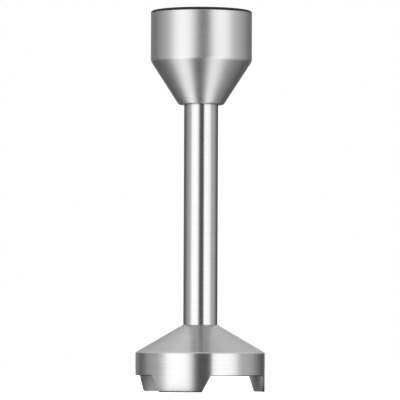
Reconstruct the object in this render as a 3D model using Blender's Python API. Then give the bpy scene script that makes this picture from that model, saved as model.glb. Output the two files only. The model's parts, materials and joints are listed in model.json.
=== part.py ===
"""Blending arm of an immersion blender, as an assembly of its real pieces.

Units are metres and +Z runs up the arm. The origin is on the arm's axis, at the height of
the surface that the guard stands on, and the middle of one foot of the guard faces -Y.
Heights ending in _Z are measured from that surface.
"""

import math

import bmesh
import bpy
from mathutils import Matrix, Vector

MM = 0.001

# Clearances
GAP = 0.3 * MM             # between pieces that touch
RUNNING_GAP = 0.15 * MM    # between pieces that slide past each other
WELD = 0.001 * MM          # points closer than this are one point
OVERSHOOT = 1.0 * MM       # how far a cutter runs past the faces it cuts

# Facets round a full turn
FINE = 40
MEDIUM = 28
COARSE = 20
BORE = 12
WIRE_FACETS = 6
ARC_STEPS = 2
SMOOTH_ANGLE = math.radians(35)

# Guard
GUARD_RADIUS = 38.0 * MM
GUARD_FLARE = 0.15 * MM
GUARD_WALL = 0.9 * MM
GUARD_CORNER_Z = 23.3 * MM
GUARD_CORNER_FILLET = 1.3 * MM
GUARD_TOP_Z = 39.3 * MM
FOOT_COUNT = 3
FOOT_FACING = math.radians(-90)
FOOT_HALF_ANGLE = math.radians(20.5)
FOOT_ROOT_HALF_ANGLE = math.radians(28.5)
FOOT_CORNER_FILLET = 1.5 * MM
NOTCH_Z = 9.4 * MM
NOTCH_FILLET = 1.2 * MM
GUARD_FACET_ANGLE = math.radians(9)

# Tube
TUBE_RADIUS = 10.0 * MM
TUBE_BORE = 9.0 * MM
TUBE_BOTTOM_Z = 34.0 * MM
TUBE_TOP_Z = 176.0 * MM
SPIGOT_RADIUS = TUBE_BORE - GAP

# Head shell and its ring
HEAD_RADIUS = 29.7 * MM
HEAD_WALL = 0.8 * MM
HEAD_TOP_Z = 221.6 * MM
HEAD_CORNER_Z = 193.7 * MM
HEAD_CORNER_FILLET = 4.0 * MM
HEAD_LIP_RADIUS = 13.12 * MM
HEAD_LIP_Z = 168.1 * MM
HEAD_LIP_FILLET = 2.0 * MM
RIM_RADIUS = 29.75 * MM
RIM_BORE = 26.4 * MM
RIM_TOP_Z = 223.5 * MM
RIM_CHAMFER = 0.4 * MM

# Coupling socket
SOCKET_RADIUS = HEAD_RADIUS - HEAD_WALL - GAP
SOCKET_BORE = 26.2 * MM
SOCKET_BASE_Z = 194.6 * MM
SOCKET_FLOOR_Z = 197.0 * MM
SOCKET_TOP_Z = 221.4 * MM
SOCKET_GROOVE_Z = 205.0 * MM
TOWER_RADIUS = 12.5 * MM
TOWER_BORE = 10.0 * MM
TOWER_TOP_Z = 209.0 * MM
SHAFT_OPENING = 5.3 * MM
LUG_COUNT = 3
LUG_FACING = math.radians(30)
LUG_HALF_ANGLE = math.radians(18)
LUG_STOP_ANGLE = math.radians(14)
LUG_INNER_RADIUS = 23.7 * MM
LUG_BOTTOM_Z = 210.0 * MM
LUG_TOP_Z = 214.0 * MM
LUG_CHAMFER = 0.8 * MM
SCREW_COUNT = 3
SCREW_FACING = math.radians(90)
SCREW_CIRCLE = 16.5 * MM
SCREW_SHANK = 1.4 * MM
SCREW_HOLE = 1.7 * MM
SCREW_HEAD = 2.8 * MM
SCREW_HEAD_HEIGHT = 1.9 * MM
SCREW_LENGTH = 9.5 * MM

# Upper ball bearing, 6 x 19 x 6 mm
BEARING_Z = 188.9 * MM
BEARING_HALF_WIDTH = 3.0 * MM
BEARING_RADIUS = 9.5 * MM
BEARING_BORE = 3.15 * MM
BALL_COUNT = 7
BALL_RADIUS = 1.6 * MM
BALL_CIRCLE = 6.25 * MM
RACEWAY_RADIUS = BALL_RADIUS + RUNNING_GAP
INNER_SHOULDER = 4.95 * MM
OUTER_SHOULDER = 7.55 * MM
SHIELD_SEAT_RADIUS = 8.05 * MM
SHIELD_SEAT_DEPTH = 0.95 * MM
SHIELD_BORE = 5.3 * MM
SHIELD_THICKNESS = 0.3 * MM
CAGE_INNER_RADIUS = 5.55 * MM
CAGE_OUTER_RADIUS = 6.95 * MM
CAGE_BELOW = 2.05 * MM
CAGE_ABOVE = 0.8 * MM
CAGE_POCKET = BALL_RADIUS + 0.2 * MM

# Bearing carrier
CARRIER_BOTTOM_Z = 160.0 * MM
CARRIER_BORE = 4.5 * MM
CARRIER_RADIUS = 13.5 * MM
FLANGE_RADIUS = 20.0 * MM
FLANGE_Z = 188.7 * MM
FLANGE_TOP_Z = SOCKET_BASE_Z - GAP
POCKET_RADIUS = BEARING_RADIUS + GAP
POCKET_Z = 184.6 * MM
CIRCLIP_Z = 192.4 * MM
CIRCLIP_THICKNESS = 0.7 * MM
CIRCLIP_RADIUS = 10.3 * MM
CIRCLIP_BORE = 8.8 * MM
CIRCLIP_SWEEP = math.radians(325)
WAVE_COUNT = 3
WAVE_HEIGHT = 0.1 * MM
WAVE_THICKNESS = 0.4 * MM
WAVE_RADIUS = 9.4 * MM
WAVE_BORE = 7.6 * MM

# Drive line
SHAFT_RADIUS = 3.0 * MM
SHAFT_BOTTOM_Z = 10.2 * MM
SHAFT_SHOULDER_Z = 15.1 * MM
SHAFT_TOP_Z = 205.5 * MM
SHAFT_CHAMFER = 0.4 * MM
STUD_RADIUS = 2.35 * MM
E_CLIP_Z = 185.0 * MM
E_CLIP_THICKNESS = 0.6 * MM
E_CLIP_RADIUS = 4.8 * MM
E_CLIP_BORE = 2.55 * MM
E_CLIP_SWEEP = math.radians(280)
SLEEVE_RADIUS = 4.6 * MM
COUPLING_RADIUS = 8.0 * MM
COUPLING_WAIST = 7.2 * MM
COUPLING_Z = 199.5 * MM
COUPLING_TOP_Z = 214.0 * MM
COUPLING_CHAMFER = 0.8 * MM
COUPLING_BORE = SHAFT_RADIUS + GAP
SPLINE_COUNT = 6
SPLINE_ROOT = 5.4 * MM
SPLINE_TIP = 4.4 * MM
SPLINE_FLOOR_Z = 206.0 * MM
PIN_Z = 202.5 * MM
PIN_RADIUS = 0.9 * MM
PIN_LENGTH = 13.0 * MM

# Centre bush
CENTRE_BUSH_Z = 107.0 * MM
CENTRE_BUSH_LENGTH = 12.0 * MM
CENTRE_BUSH_RADIUS = 6.4 * MM
CENTRE_FLANGE_RADIUS = 8.0 * MM
CENTRE_FLANGE_THICKNESS = 0.7 * MM
BUSH_BORE = SHAFT_RADIUS + RUNNING_GAP

# Lower housing, bush and seal
HOUSING_BOTTOM_Z = 26.7 * MM
HOUSING_FLANGE_Z = 30.2 * MM
HOUSING_TOP_Z = 60.0 * MM
HOUSING_NOSE_RADIUS = 9.8 * MM
HOUSING_FLANGE_RADIUS = 12.5 * MM
HOUSING_GROOVE_Z = 42.0 * MM
HOUSING_NECK = 4.2 * MM
HOUSING_BORE = 3.8 * MM
LOWER_BUSH_RADIUS = 5.0 * MM
LOWER_BUSH_Z = 35.3 * MM
LOWER_BUSH_LENGTH = 15.7 * MM
SEAL_RADIUS = 7.0 * MM
SEAL_Z = 27.0 * MM
SEAL_HEIGHT = 5.7 * MM
SEAL_WALL = 1.3 * MM
SEAL_LIP_HEIGHT = 1.0 * MM
SEAL_SPRING_CIRCLE = 4.85 * MM
SEAL_SPRING_RADIUS = 0.4 * MM
CAP_Z = 25.1 * MM
CAP_THICKNESS = 1.3 * MM
CAP_RADIUS = 9.6 * MM
CAP_BORE = 3.9 * MM
THRUST_Z = 24.2 * MM
THRUST_THICKNESS = 0.6 * MM
THRUST_RADIUS = 6.0 * MM

# Cutter
HUB_Z = 15.2 * MM
HUB_HEIGHT = 8.7 * MM
HUB_RADIUS = 5.2 * MM
HUB_FLANGE_RADIUS = 7.0 * MM
BLADE_Z = 13.7 * MM
BLADE_THICKNESS = 1.2 * MM
BLADE_RADIUS = 27.0 * MM
BLADE_ROOT = 8.0 * MM
BLADE_HALF_WIDTH = 6.6 * MM
BLADE_TIP_HALF_WIDTH = 3.8 * MM
BLADE_EDGE_WIDTH = 2.4 * MM
BLADE_EDGE_THICKNESS = 0.3 * MM
BLADE_FACING = math.radians(35)
WING_UP = math.radians(12)
WING_DOWN = math.radians(-8)
STUD_HOLE = STUD_RADIUS + GAP
WASHER_Z = 12.8 * MM
WASHER_THICKNESS = 0.6 * MM
WASHER_RADIUS = 5.0 * MM
NUT_Z = 9.9 * MM
NUT_HEIGHT = 2.6 * MM
NUT_ACROSS_FLATS = 8.0 * MM
NUT_CHAMFER = 0.35 * MM

# O-rings
SOCKET_O_RING_RADIUS = 0.6 * MM
HOUSING_O_RING_RADIUS = 0.5 * MM
GROOVE_SIDE_GAP = 0.3 * MM


# Outlines --------------------------------------------------------------------------------

def on_circle(radius, angle, z=0.0):
    """Return the point at an angle about Z."""
    return Vector((radius * math.cos(angle), radius * math.sin(angle), z))


def corner_arc(before, corner, after, radius):
    """Return the points of the arc that rounds a corner of a path."""
    toward = (before - corner).normalized()
    away = (after - corner).normalized()
    half_angle = toward.angle(away) / 2
    setback = radius / math.tan(half_angle)
    centre = corner + (toward + away).normalized() * (radius / math.sin(half_angle))
    start = corner + toward * setback - centre
    end = corner + away * setback - centre
    spokes = [start.lerp(end, i / ARC_STEPS).normalized() for i in range(ARC_STEPS + 1)]
    return [centre + spoke * radius for spoke in spokes]


def rounded(corners):
    """Return an open path's points, with an arc at each corner, given as (x, y, radius)."""
    points = [Vector(corner[:2]) for corner in corners]
    path = [points[0]]
    for i in range(1, len(points) - 1):
        path += corner_arc(points[i - 1], points[i], points[i + 1], corners[i][2])
    return path + [points[-1]]


def line_meeting(point_a, along_a, point_b, along_b):
    """Return the point where two lines in the plane cross."""
    distance = (point_b - point_a).cross(along_b) / along_a.cross(along_b)
    return point_a + along_a * distance


def sheet_outline(corners, wall):
    """Return the closed outline of a sheet, whose outer face follows the path.

    The path runs down the outer face, so its corners turn to the right and the sheet's
    inner face is to its right.
    """
    points = [Vector(corner[:2]) for corner in corners]
    runs = [(b - a).normalized() for a, b in zip(points, points[1:])]
    shifts = [Vector((run.y, -run.x)) * wall for run in runs]
    inner = [tuple(points[0] + shifts[0])]
    for i in range(1, len(points) - 1):
        corner = line_meeting(points[i] + shifts[i - 1], runs[i - 1], points[i] + shifts[i], runs[i])
        inner.append((corner.x, corner.y, corners[i][2] - wall))
    inner.append(tuple(points[-1] + shifts[-1]))
    return rounded(corners) + rounded(inner)[::-1]


def ring_outline(inner, outer, bottom, top, chamfer=0.0):
    """Return the section of a plain ring, its two outer corners chamfered."""
    if chamfer == 0:
        return [(inner, bottom), (outer, bottom), (outer, top), (inner, top)]
    return [(inner, bottom), (outer - chamfer, bottom), (outer, bottom + chamfer),
            (outer, top - chamfer), (outer - chamfer, top), (inner, top)]


def circle_outline(circle, radius, z):
    """Return the section of a round wire ring."""
    turns = [math.tau * i / WIRE_FACETS for i in range(WIRE_FACETS)]
    return [(circle + radius * math.cos(turn), z + radius * math.sin(turn)) for turn in turns]


# Objects ---------------------------------------------------------------------------------

def clear_scene():
    """Remove every object that is in the scene."""
    for obj in list(bpy.data.objects):
        bpy.data.objects.remove(obj, do_unlink=True)


def make_material(name, colour, roughness, metallic=0.0):
    """Return a new plain material."""
    material = bpy.data.materials.new(name)
    material.use_nodes = True
    shader = material.node_tree.nodes["Principled BSDF"]
    shader.inputs["Base Color"].default_value = (*colour, 1.0)
    shader.inputs["Roughness"].default_value = roughness
    shader.inputs["Metallic"].default_value = metallic
    return material


def make_axis(name):
    """Return an empty on the arm's axis, for the pieces that turn about it."""
    axis = bpy.data.objects.new(name, None)
    bpy.context.collection.objects.link(axis)
    return axis


def add_object(name, mesh, finish, parent=None):
    """Put a mesh in the scene with a material of its own, made from a finish."""
    obj = bpy.data.objects.new(name, mesh)
    bpy.context.collection.objects.link(obj)
    obj.parent = parent
    if not mesh.materials:
        mesh.materials.append(make_material(name, *finish))
    return obj


def as_mesh(name, bm):
    """Turn a bmesh into a mesh with its faces out, smooth but for its sharp edges."""
    bmesh.ops.remove_doubles(bm, verts=bm.verts, dist=WELD)
    bmesh.ops.dissolve_degenerate(bm, edges=bm.edges, dist=WELD)
    bmesh.ops.recalc_face_normals(bm, faces=bm.faces)
    mesh = bpy.data.meshes.new(name)
    bm.to_mesh(mesh)
    bm.free()
    mesh.shade_smooth()
    mesh.set_sharp_from_angle(angle=SMOOTH_ANGLE)
    return mesh


def turned_mesh(name, outline, facets):
    """Spin a section (radius, height) about Z. A section that starts and ends on Z is solid."""
    bm = bmesh.new()
    verts = [bm.verts.new((radius, 0, height)) for radius, height in outline]
    ends = zip(verts, verts[1:] + verts[:1])
    edges = [bm.edges.new(pair) for pair in ends if pair[0].co.x > 0 or pair[1].co.x > 0]
    bmesh.ops.spin(bm, geom=verts + edges, axis=(0, 0, 1), angle=math.tau, steps=facets,
                   use_merge=True)
    return as_mesh(name, bm)


def turned(name, outline, finish, facets=MEDIUM, parent=None):
    """Add a turned piece."""
    return add_object(name, turned_mesh(name, outline, facets), finish, parent)


def lofted_mesh(name, sections, wrap=False):
    """Skin matching sections. The ends are capped, or the last section joins the first."""
    bm = bmesh.new()
    rings = [[bm.verts.new(point) for point in section] for section in sections]
    following = rings[1:]
    if wrap:
        following.append(rings[0])
    else:
        bm.faces.new(rings[0])
        bm.faces.new(rings[-1])
    for ring, after in zip(rings, following):
        for i in range(len(ring)):
            bm.faces.new((ring[i - 1], ring[i], after[i], after[i - 1]))
    return as_mesh(name, bm)


def lofted(name, sections, finish, wrap=False, parent=None):
    """Add a lofted piece."""
    return add_object(name, lofted_mesh(name, sections, wrap), finish, parent)


def swept_arc(name, outline, sweep, finish, facets, parent=None):
    """Turn a section part of the way round Z, as in a clip with a gap."""
    steps = max(2, round(facets * sweep / math.tau))
    angles = [sweep * (i / steps - 0.5) for i in range(steps + 1)]
    sections = [[on_circle(radius, angle, height) for radius, height in outline] for angle in angles]
    return lofted(name, sections, finish, parent=parent)


def prism_sections(outline, bottom, top):
    """Return the two sections of a straight prism along Z."""
    return [[Vector((x, y, height)) for x, y in outline] for height in (bottom, top)]


def hide_tool(tool):
    """Mark an object that only shapes others."""
    tool.hide_render = True
    tool.display_type = "WIRE"


def shape_with(obj, tool, operation):
    """Cut a tool from an object, or join it on."""
    hide_tool(tool)
    modifier = obj.modifiers.new(tool.name, "BOOLEAN")
    modifier.operation = operation
    modifier.object = tool
    modifier.solver = "EXACT"


def cylinders(name, places, radius, bottom, top):
    """Return a tool made of upright cylinders at some places."""
    bm = bmesh.new()
    for place in places:
        middle = Matrix.Translation((place.x, place.y, (bottom + top) / 2))
        bmesh.ops.create_cone(bm, cap_ends=True, segments=BORE, radius1=radius, radius2=radius,
                              depth=top - bottom, matrix=middle)
    return add_object(name, as_mesh(name, bm), PLAIN)


def cross_hole(name, radius, length, z, parent):
    """Return a cylinder along X, centred on the axis."""
    bm = bmesh.new()
    bmesh.ops.create_cone(bm, cap_ends=True, segments=BORE, radius1=radius, radius2=radius,
                          depth=length, matrix=Matrix.Rotation(math.pi / 2, 4, "Y"))
    tool = add_object(name, as_mesh(name, bm), STEEL, parent)
    tool.location.z = z
    return tool


# Finishes: colour, roughness, metallic -----------------------------------------------------

PLAIN = ((0.5, 0.5, 0.5), 0.5, 0.0)
BRUSHED = ((0.62, 0.62, 0.62), 0.28, 1.0)
POLISHED = ((0.66, 0.66, 0.66), 0.14, 1.0)
STEEL = ((0.55, 0.55, 0.56), 0.25, 1.0)
BLADE_STEEL = ((0.68, 0.68, 0.69), 0.18, 1.0)
BRONZE = ((0.62, 0.42, 0.2), 0.4, 1.0)
ALUMINIUM = ((0.7, 0.7, 0.71), 0.4, 1.0)
BLACK_PLASTIC = ((0.02, 0.02, 0.02), 0.45, 0.0)
GREY_PLASTIC = ((0.25, 0.25, 0.26), 0.5, 0.0)
WHITE_PLASTIC = ((0.75, 0.74, 0.7), 0.5, 0.0)
RUBBER = ((0.015, 0.015, 0.015), 0.7, 0.0)


# Shells ------------------------------------------------------------------------------------

def foot_edge():
    """Return the guard's lower edge over one foot and half a notch each side, as (angle, z)."""
    half_pitch = math.pi / FOOT_COUNT
    side = [(half_pitch, NOTCH_Z), (FOOT_ROOT_HALF_ANGLE, NOTCH_Z, NOTCH_FILLET),
            (FOOT_HALF_ANGLE, 0.0, FOOT_CORNER_FILLET)]
    corners = [(-angle * GUARD_RADIUS, *rest) for angle, *rest in side]
    corners += [(angle * GUARD_RADIUS, *rest) for angle, *rest in reversed(side)]
    path = rounded(corners)
    edge = []
    for start, end in zip(path, path[1:]):
        steps = math.ceil((end.x - start.x) / GUARD_RADIUS / GUARD_FACET_ANGLE)
        edge += [start.lerp(end, i / steps) for i in range(steps)]
    return [(point.x / GUARD_RADIUS, point.y) for point in edge]


def guard_section(angle, bottom):
    """Return the guard's section at an angle, for the height of its lower edge there."""
    lean = GUARD_FLARE * (1 - bottom / GUARD_CORNER_Z)
    slope = (GUARD_RADIUS - TUBE_RADIUS) / (GUARD_TOP_Z - GUARD_CORNER_Z)
    path = [(TUBE_RADIUS + GAP, GUARD_TOP_Z - GAP / slope),
            (GUARD_RADIUS, GUARD_CORNER_Z, GUARD_CORNER_FILLET),
            (GUARD_RADIUS + lean, bottom)]
    section = []
    for radius, height in sheet_outline(path, GUARD_WALL):
        radius = max(radius, TUBE_RADIUS + GAP)    # the edge at the tube is upright
        height = max(height, bottom)               # and the one at the foot is level
        section.append(on_circle(radius, angle, height))
    return section


def make_bell_guard():
    """Add the steel bell with its feet and notches."""
    pitch = math.tau / FOOT_COUNT
    sections = []
    for foot in range(FOOT_COUNT):
        middle = FOOT_FACING + foot * pitch
        sections += [guard_section(middle + angle, z) for angle, z in foot_edge()]
    lofted("bell_guard", sections, BRUSHED, wrap=True)


def make_shaft_tube():
    """Add the outer tube."""
    outline = ring_outline(TUBE_BORE, TUBE_RADIUS, TUBE_BOTTOM_Z, TUBE_TOP_Z)
    turned("shaft_tube", outline, POLISHED, FINE)


def make_head_shell():
    """Add the spun steel head."""
    path = [(HEAD_RADIUS, HEAD_TOP_Z),
            (HEAD_RADIUS, HEAD_CORNER_Z, HEAD_CORNER_FILLET),
            (HEAD_LIP_RADIUS, HEAD_LIP_Z, HEAD_LIP_FILLET),
            (TUBE_RADIUS + GAP, HEAD_LIP_Z)]
    turned("head_shell", sheet_outline(path, HEAD_WALL), BRUSHED, FINE)


def make_rim_ring():
    """Add the soft ring that caps the head's top edge."""
    outline = ring_outline(RIM_BORE, RIM_RADIUS, HEAD_TOP_Z + RUNNING_GAP, RIM_TOP_Z)
    outline[2:] = [(RIM_RADIUS, RIM_TOP_Z - RIM_CHAMFER), (RIM_RADIUS - RIM_CHAMFER, RIM_TOP_Z),
                   (RIM_BORE + RIM_CHAMFER, RIM_TOP_Z), (RIM_BORE, RIM_TOP_Z - RIM_CHAMFER)]
    turned("rim_ring", outline, RUBBER, FINE)


# Coupling socket ---------------------------------------------------------------------------

def groove(radius, wire, z):
    """Return the corners of an O-ring groove in a wall, from bottom to top."""
    half_height = wire + GROOVE_SIDE_GAP
    depth = 2 * wire + GAP
    return [(radius, z - half_height), (radius - depth, z - half_height),
            (radius - depth, z + half_height), (radius, z + half_height)]


def lug_section(angle):
    """Return a bayonet lug's section at an angle from its middle. Its far end is a stop rib."""
    bottom = SOCKET_FLOOR_Z - OVERSHOOT if angle > LUG_STOP_ANGLE else LUG_BOTTOM_Z
    outer = SOCKET_BORE + OVERSHOOT
    return [(LUG_INNER_RADIUS, bottom), (outer, bottom), (outer, LUG_TOP_Z),
            (LUG_INNER_RADIUS + LUG_CHAMFER, LUG_TOP_Z),
            (LUG_INNER_RADIUS, LUG_TOP_Z - LUG_CHAMFER)]


def make_bayonet_lug(number):
    """Return one lug, for joining to the socket."""
    middle = LUG_FACING + number * math.tau / LUG_COUNT
    step = math.radians(1)
    angles = [-LUG_HALF_ANGLE, -LUG_HALF_ANGLE / 2, 0, LUG_HALF_ANGLE / 2, LUG_STOP_ANGLE,
              LUG_STOP_ANGLE + step, LUG_HALF_ANGLE]
    sections = []
    for angle in angles:
        sections.append([on_circle(radius, middle + angle, z) for radius, z in lug_section(angle)])
    return lofted(f"tool_lug_{number + 1}", sections, PLAIN)


def screw_places():
    """Return where the socket's screws stand."""
    pitch = math.tau / SCREW_COUNT
    return [on_circle(SCREW_CIRCLE, SCREW_FACING + i * pitch) for i in range(SCREW_COUNT)]


def make_coupling_socket(screw_holes):
    """Add the moulded insert that the motor handle plugs into."""
    chamfer = 1.0 * MM
    entry = 0.5 * MM
    outline = [(SHAFT_OPENING, SOCKET_BASE_Z), (SOCKET_RADIUS - chamfer, SOCKET_BASE_Z),
               (SOCKET_RADIUS, SOCKET_BASE_Z + chamfer)]
    outline += groove(SOCKET_RADIUS, SOCKET_O_RING_RADIUS, SOCKET_GROOVE_Z)
    outline += [(SOCKET_RADIUS, SOCKET_TOP_Z), (SOCKET_BORE + entry, SOCKET_TOP_Z),
                (SOCKET_BORE, SOCKET_TOP_Z - entry), (SOCKET_BORE, SOCKET_FLOOR_Z),
                (TOWER_RADIUS, SOCKET_FLOOR_Z), (TOWER_RADIUS, TOWER_TOP_Z),
                (TOWER_BORE, TOWER_TOP_Z), (TOWER_BORE, SOCKET_FLOOR_Z),
                (SHAFT_OPENING, SOCKET_FLOOR_Z)]
    socket = turned("coupling_socket", outline, BLACK_PLASTIC, FINE)
    for number in range(LUG_COUNT):
        shape_with(socket, make_bayonet_lug(number), "UNION")
    shape_with(socket, screw_holes, "DIFFERENCE")


def make_o_ring(name, wall_radius, wire, z):
    """Add an O-ring that lies in a groove of a wall."""
    circle = wall_radius - wire
    turned(name, circle_outline(circle, wire, z), RUBBER, MEDIUM)


def make_socket_screws():
    """Add the screws that hold the socket to the carrier."""
    seat = SOCKET_FLOOR_Z + GAP
    dome = 0.5 * MM
    outline = [(0, -SCREW_LENGTH), (SCREW_SHANK, -SCREW_LENGTH), (SCREW_SHANK, 0),
               (SCREW_HEAD, 0), (SCREW_HEAD, SCREW_HEAD_HEIGHT - dome),
               (SCREW_HEAD - dome, SCREW_HEAD_HEIGHT), (0, SCREW_HEAD_HEIGHT)]
    mesh = turned_mesh("socket_screw", outline, BORE)
    for i, place in enumerate(screw_places()):
        screw = add_object(f"socket_screw_{i + 1}", mesh, STEEL)
        screw.location = (place.x, place.y, seat)


# Upper bearing -----------------------------------------------------------------------------

def raceway(shoulder, side):
    """Return the raceway's points from bottom to top, on the inner (-1) or outer (1) race."""
    half_angle = math.acos((BALL_CIRCLE - shoulder) / RACEWAY_RADIUS * -side)
    turns = [half_angle * (i / 2 - 1) for i in range(5)]
    return [(BALL_CIRCLE + side * RACEWAY_RADIUS * math.cos(turn),
             RACEWAY_RADIUS * math.sin(turn)) for turn in turns]


def make_bearing_races(rotor_axis):
    """Add the two grooved races."""
    half = BEARING_HALF_WIDTH
    seat = half - SHIELD_SEAT_DEPTH
    inner = [(BEARING_BORE, -half), (INNER_SHOULDER, -half)]
    inner += raceway(INNER_SHOULDER, -1)
    inner += [(INNER_SHOULDER, half), (BEARING_BORE, half)]
    outer = [(BEARING_RADIUS, half), (SHIELD_SEAT_RADIUS, half), (SHIELD_SEAT_RADIUS, seat),
             (OUTER_SHOULDER, seat)]
    outer += raceway(OUTER_SHOULDER, 1)[::-1]
    outer += [(OUTER_SHOULDER, -seat), (SHIELD_SEAT_RADIUS, -seat), (SHIELD_SEAT_RADIUS, -half),
              (BEARING_RADIUS, -half)]
    turned("bearing_inner_race", inner, STEEL, COARSE, rotor_axis).location.z = BEARING_Z
    turned("bearing_outer_race", outer, STEEL, COARSE).location.z = BEARING_Z


def make_bearing_shields():
    """Add the two shields that close the bearing."""
    low = BEARING_HALF_WIDTH - SHIELD_SEAT_DEPTH + GAP
    outline = ring_outline(SHIELD_BORE, SHIELD_SEAT_RADIUS - GAP, low, low + SHIELD_THICKNESS)
    mesh = turned_mesh("bearing_shield", outline, COARSE)
    upper = add_object("bearing_shield_upper", mesh, STEEL)
    upper.location.z = BEARING_Z
    lower = add_object("bearing_shield_lower", mesh, STEEL)
    lower.location.z = BEARING_Z
    lower.rotation_euler.x = math.pi


def make_bearing_balls(cage_axis):
    """Add the balls and the crown cage that spaces them."""
    bm = bmesh.new()
    bmesh.ops.create_icosphere(bm, subdivisions=2, radius=BALL_RADIUS)
    ball_mesh = as_mesh("bearing_ball", bm)
    bm = bmesh.new()
    for i in range(BALL_COUNT):
        place = on_circle(BALL_CIRCLE, i * math.tau / BALL_COUNT)
        ball = add_object(f"bearing_ball_{i + 1}", ball_mesh, STEEL, cage_axis)
        ball.location = (place.x, place.y, BEARING_Z)
        turn = Matrix.Rotation(i * math.tau / BALL_COUNT, 4, "Z")
        across = Matrix.Rotation(math.pi / 2, 4, "Y")
        bmesh.ops.create_cone(bm, cap_ends=True, segments=BORE, radius1=CAGE_POCKET,
                              radius2=CAGE_POCKET, depth=2 * BALL_RADIUS,
                              matrix=turn @ Matrix.Translation((BALL_CIRCLE, 0, 0)) @ across)
    tool = add_object("tool_cage_pockets", as_mesh("tool_cage_pockets", bm), PLAIN, cage_axis)
    tool.location.z = BEARING_Z
    outline = ring_outline(CAGE_INNER_RADIUS, CAGE_OUTER_RADIUS, -CAGE_BELOW, CAGE_ABOVE)
    cage = turned("bearing_cage", outline, WHITE_PLASTIC, MEDIUM, cage_axis)
    cage.location.z = BEARING_Z
    shape_with(cage, tool, "DIFFERENCE")


def make_bearing_carrier(screw_holes):
    """Add the carrier that joins the tube, the bearing and the socket."""
    groove_bottom = CIRCLIP_Z - GAP
    groove_top = CIRCLIP_Z + CIRCLIP_THICKNESS + GAP
    groove_radius = CIRCLIP_RADIUS + GAP
    outline = [(CARRIER_BORE, CARRIER_BOTTOM_Z), (SPIGOT_RADIUS, CARRIER_BOTTOM_Z),
               (SPIGOT_RADIUS, TUBE_TOP_Z + GAP), (CARRIER_RADIUS, TUBE_TOP_Z + GAP),
               (CARRIER_RADIUS, FLANGE_Z), (FLANGE_RADIUS, FLANGE_Z),
               (FLANGE_RADIUS, FLANGE_TOP_Z), (POCKET_RADIUS, FLANGE_TOP_Z),
               (POCKET_RADIUS, groove_top), (groove_radius, groove_top),
               (groove_radius, groove_bottom), (POCKET_RADIUS, groove_bottom),
               (POCKET_RADIUS, POCKET_Z), (CARRIER_BORE, POCKET_Z)]
    carrier = turned("bearing_carrier", outline, ALUMINIUM, MEDIUM)
    shape_with(carrier, screw_holes, "DIFFERENCE")


def make_wave_washer():
    """Add the sprung washer under the bearing."""
    low = POCKET_Z + GAP + WAVE_HEIGHT
    sections = []
    for i in range(COARSE):
        angle = i * math.tau / COARSE
        z = low + WAVE_HEIGHT * math.cos(WAVE_COUNT * angle)
        outline = ring_outline(WAVE_BORE, WAVE_RADIUS, z, z + WAVE_THICKNESS)
        sections.append([on_circle(radius, angle, height) for radius, height in outline])
    lofted("wave_washer", sections, STEEL, wrap=True)


def make_bearing_circlip():
    """Add the ring with a gap that keeps the bearing in its pocket."""
    outline = ring_outline(CIRCLIP_BORE, CIRCLIP_RADIUS, CIRCLIP_Z, CIRCLIP_Z + CIRCLIP_THICKNESS)
    swept_arc("bearing_circlip", outline, CIRCLIP_SWEEP, STEEL, COARSE)


# Drive line --------------------------------------------------------------------------------

def make_drive_shaft(rotor_axis, pin_hole):
    """Add the shaft, with a stud for the blade, a clip groove and a pin hole."""
    groove_bottom = E_CLIP_Z - GAP
    groove_top = E_CLIP_Z + E_CLIP_THICKNESS + GAP
    groove_radius = E_CLIP_BORE - GAP
    outline = [(0, SHAFT_BOTTOM_Z), (STUD_RADIUS - SHAFT_CHAMFER, SHAFT_BOTTOM_Z),
               (STUD_RADIUS, SHAFT_BOTTOM_Z + SHAFT_CHAMFER), (STUD_RADIUS, SHAFT_SHOULDER_Z),
               (SHAFT_RADIUS, SHAFT_SHOULDER_Z), (SHAFT_RADIUS, groove_bottom),
               (groove_radius, groove_bottom), (groove_radius, groove_top),
               (SHAFT_RADIUS, groove_top), (SHAFT_RADIUS, SHAFT_TOP_Z - SHAFT_CHAMFER),
               (SHAFT_RADIUS - SHAFT_CHAMFER, SHAFT_TOP_Z), (0, SHAFT_TOP_Z)]
    shaft = turned("drive_shaft", outline, STEEL, COARSE, rotor_axis)
    shape_with(shaft, pin_hole, "DIFFERENCE")


def spline_outline():
    """Return the star-shaped section of the dog's socket."""
    count = 4 * SPLINE_COUNT
    radii = [SPLINE_ROOT if i % 4 < 2 else SPLINE_TIP for i in range(count)]
    return [on_circle(radius, i * math.tau / count).xy for i, radius in enumerate(radii)]


def make_drive_coupling(rotor_axis, pin_hole):
    """Add the splined dog that the motor drives."""
    waist_z = COUPLING_Z + 6.5 * MM
    outline = [(COUPLING_BORE, COUPLING_Z), (COUPLING_RADIUS - COUPLING_CHAMFER, COUPLING_Z),
               (COUPLING_RADIUS, COUPLING_Z + COUPLING_CHAMFER), (COUPLING_RADIUS, waist_z),
               (COUPLING_WAIST, waist_z + COUPLING_CHAMFER),
               (COUPLING_WAIST, COUPLING_TOP_Z - COUPLING_CHAMFER),
               (COUPLING_WAIST - COUPLING_CHAMFER / 2, COUPLING_TOP_Z),
               (COUPLING_BORE, COUPLING_TOP_Z)]
    coupling = turned("drive_coupling", outline, BLACK_PLASTIC, MEDIUM, rotor_axis)
    sections = prism_sections(spline_outline(), SPLINE_FLOOR_Z, COUPLING_TOP_Z + OVERSHOOT)
    shape_with(coupling, lofted("tool_splines", sections, PLAIN, parent=rotor_axis), "DIFFERENCE")
    shape_with(coupling, pin_hole, "DIFFERENCE")


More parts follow.
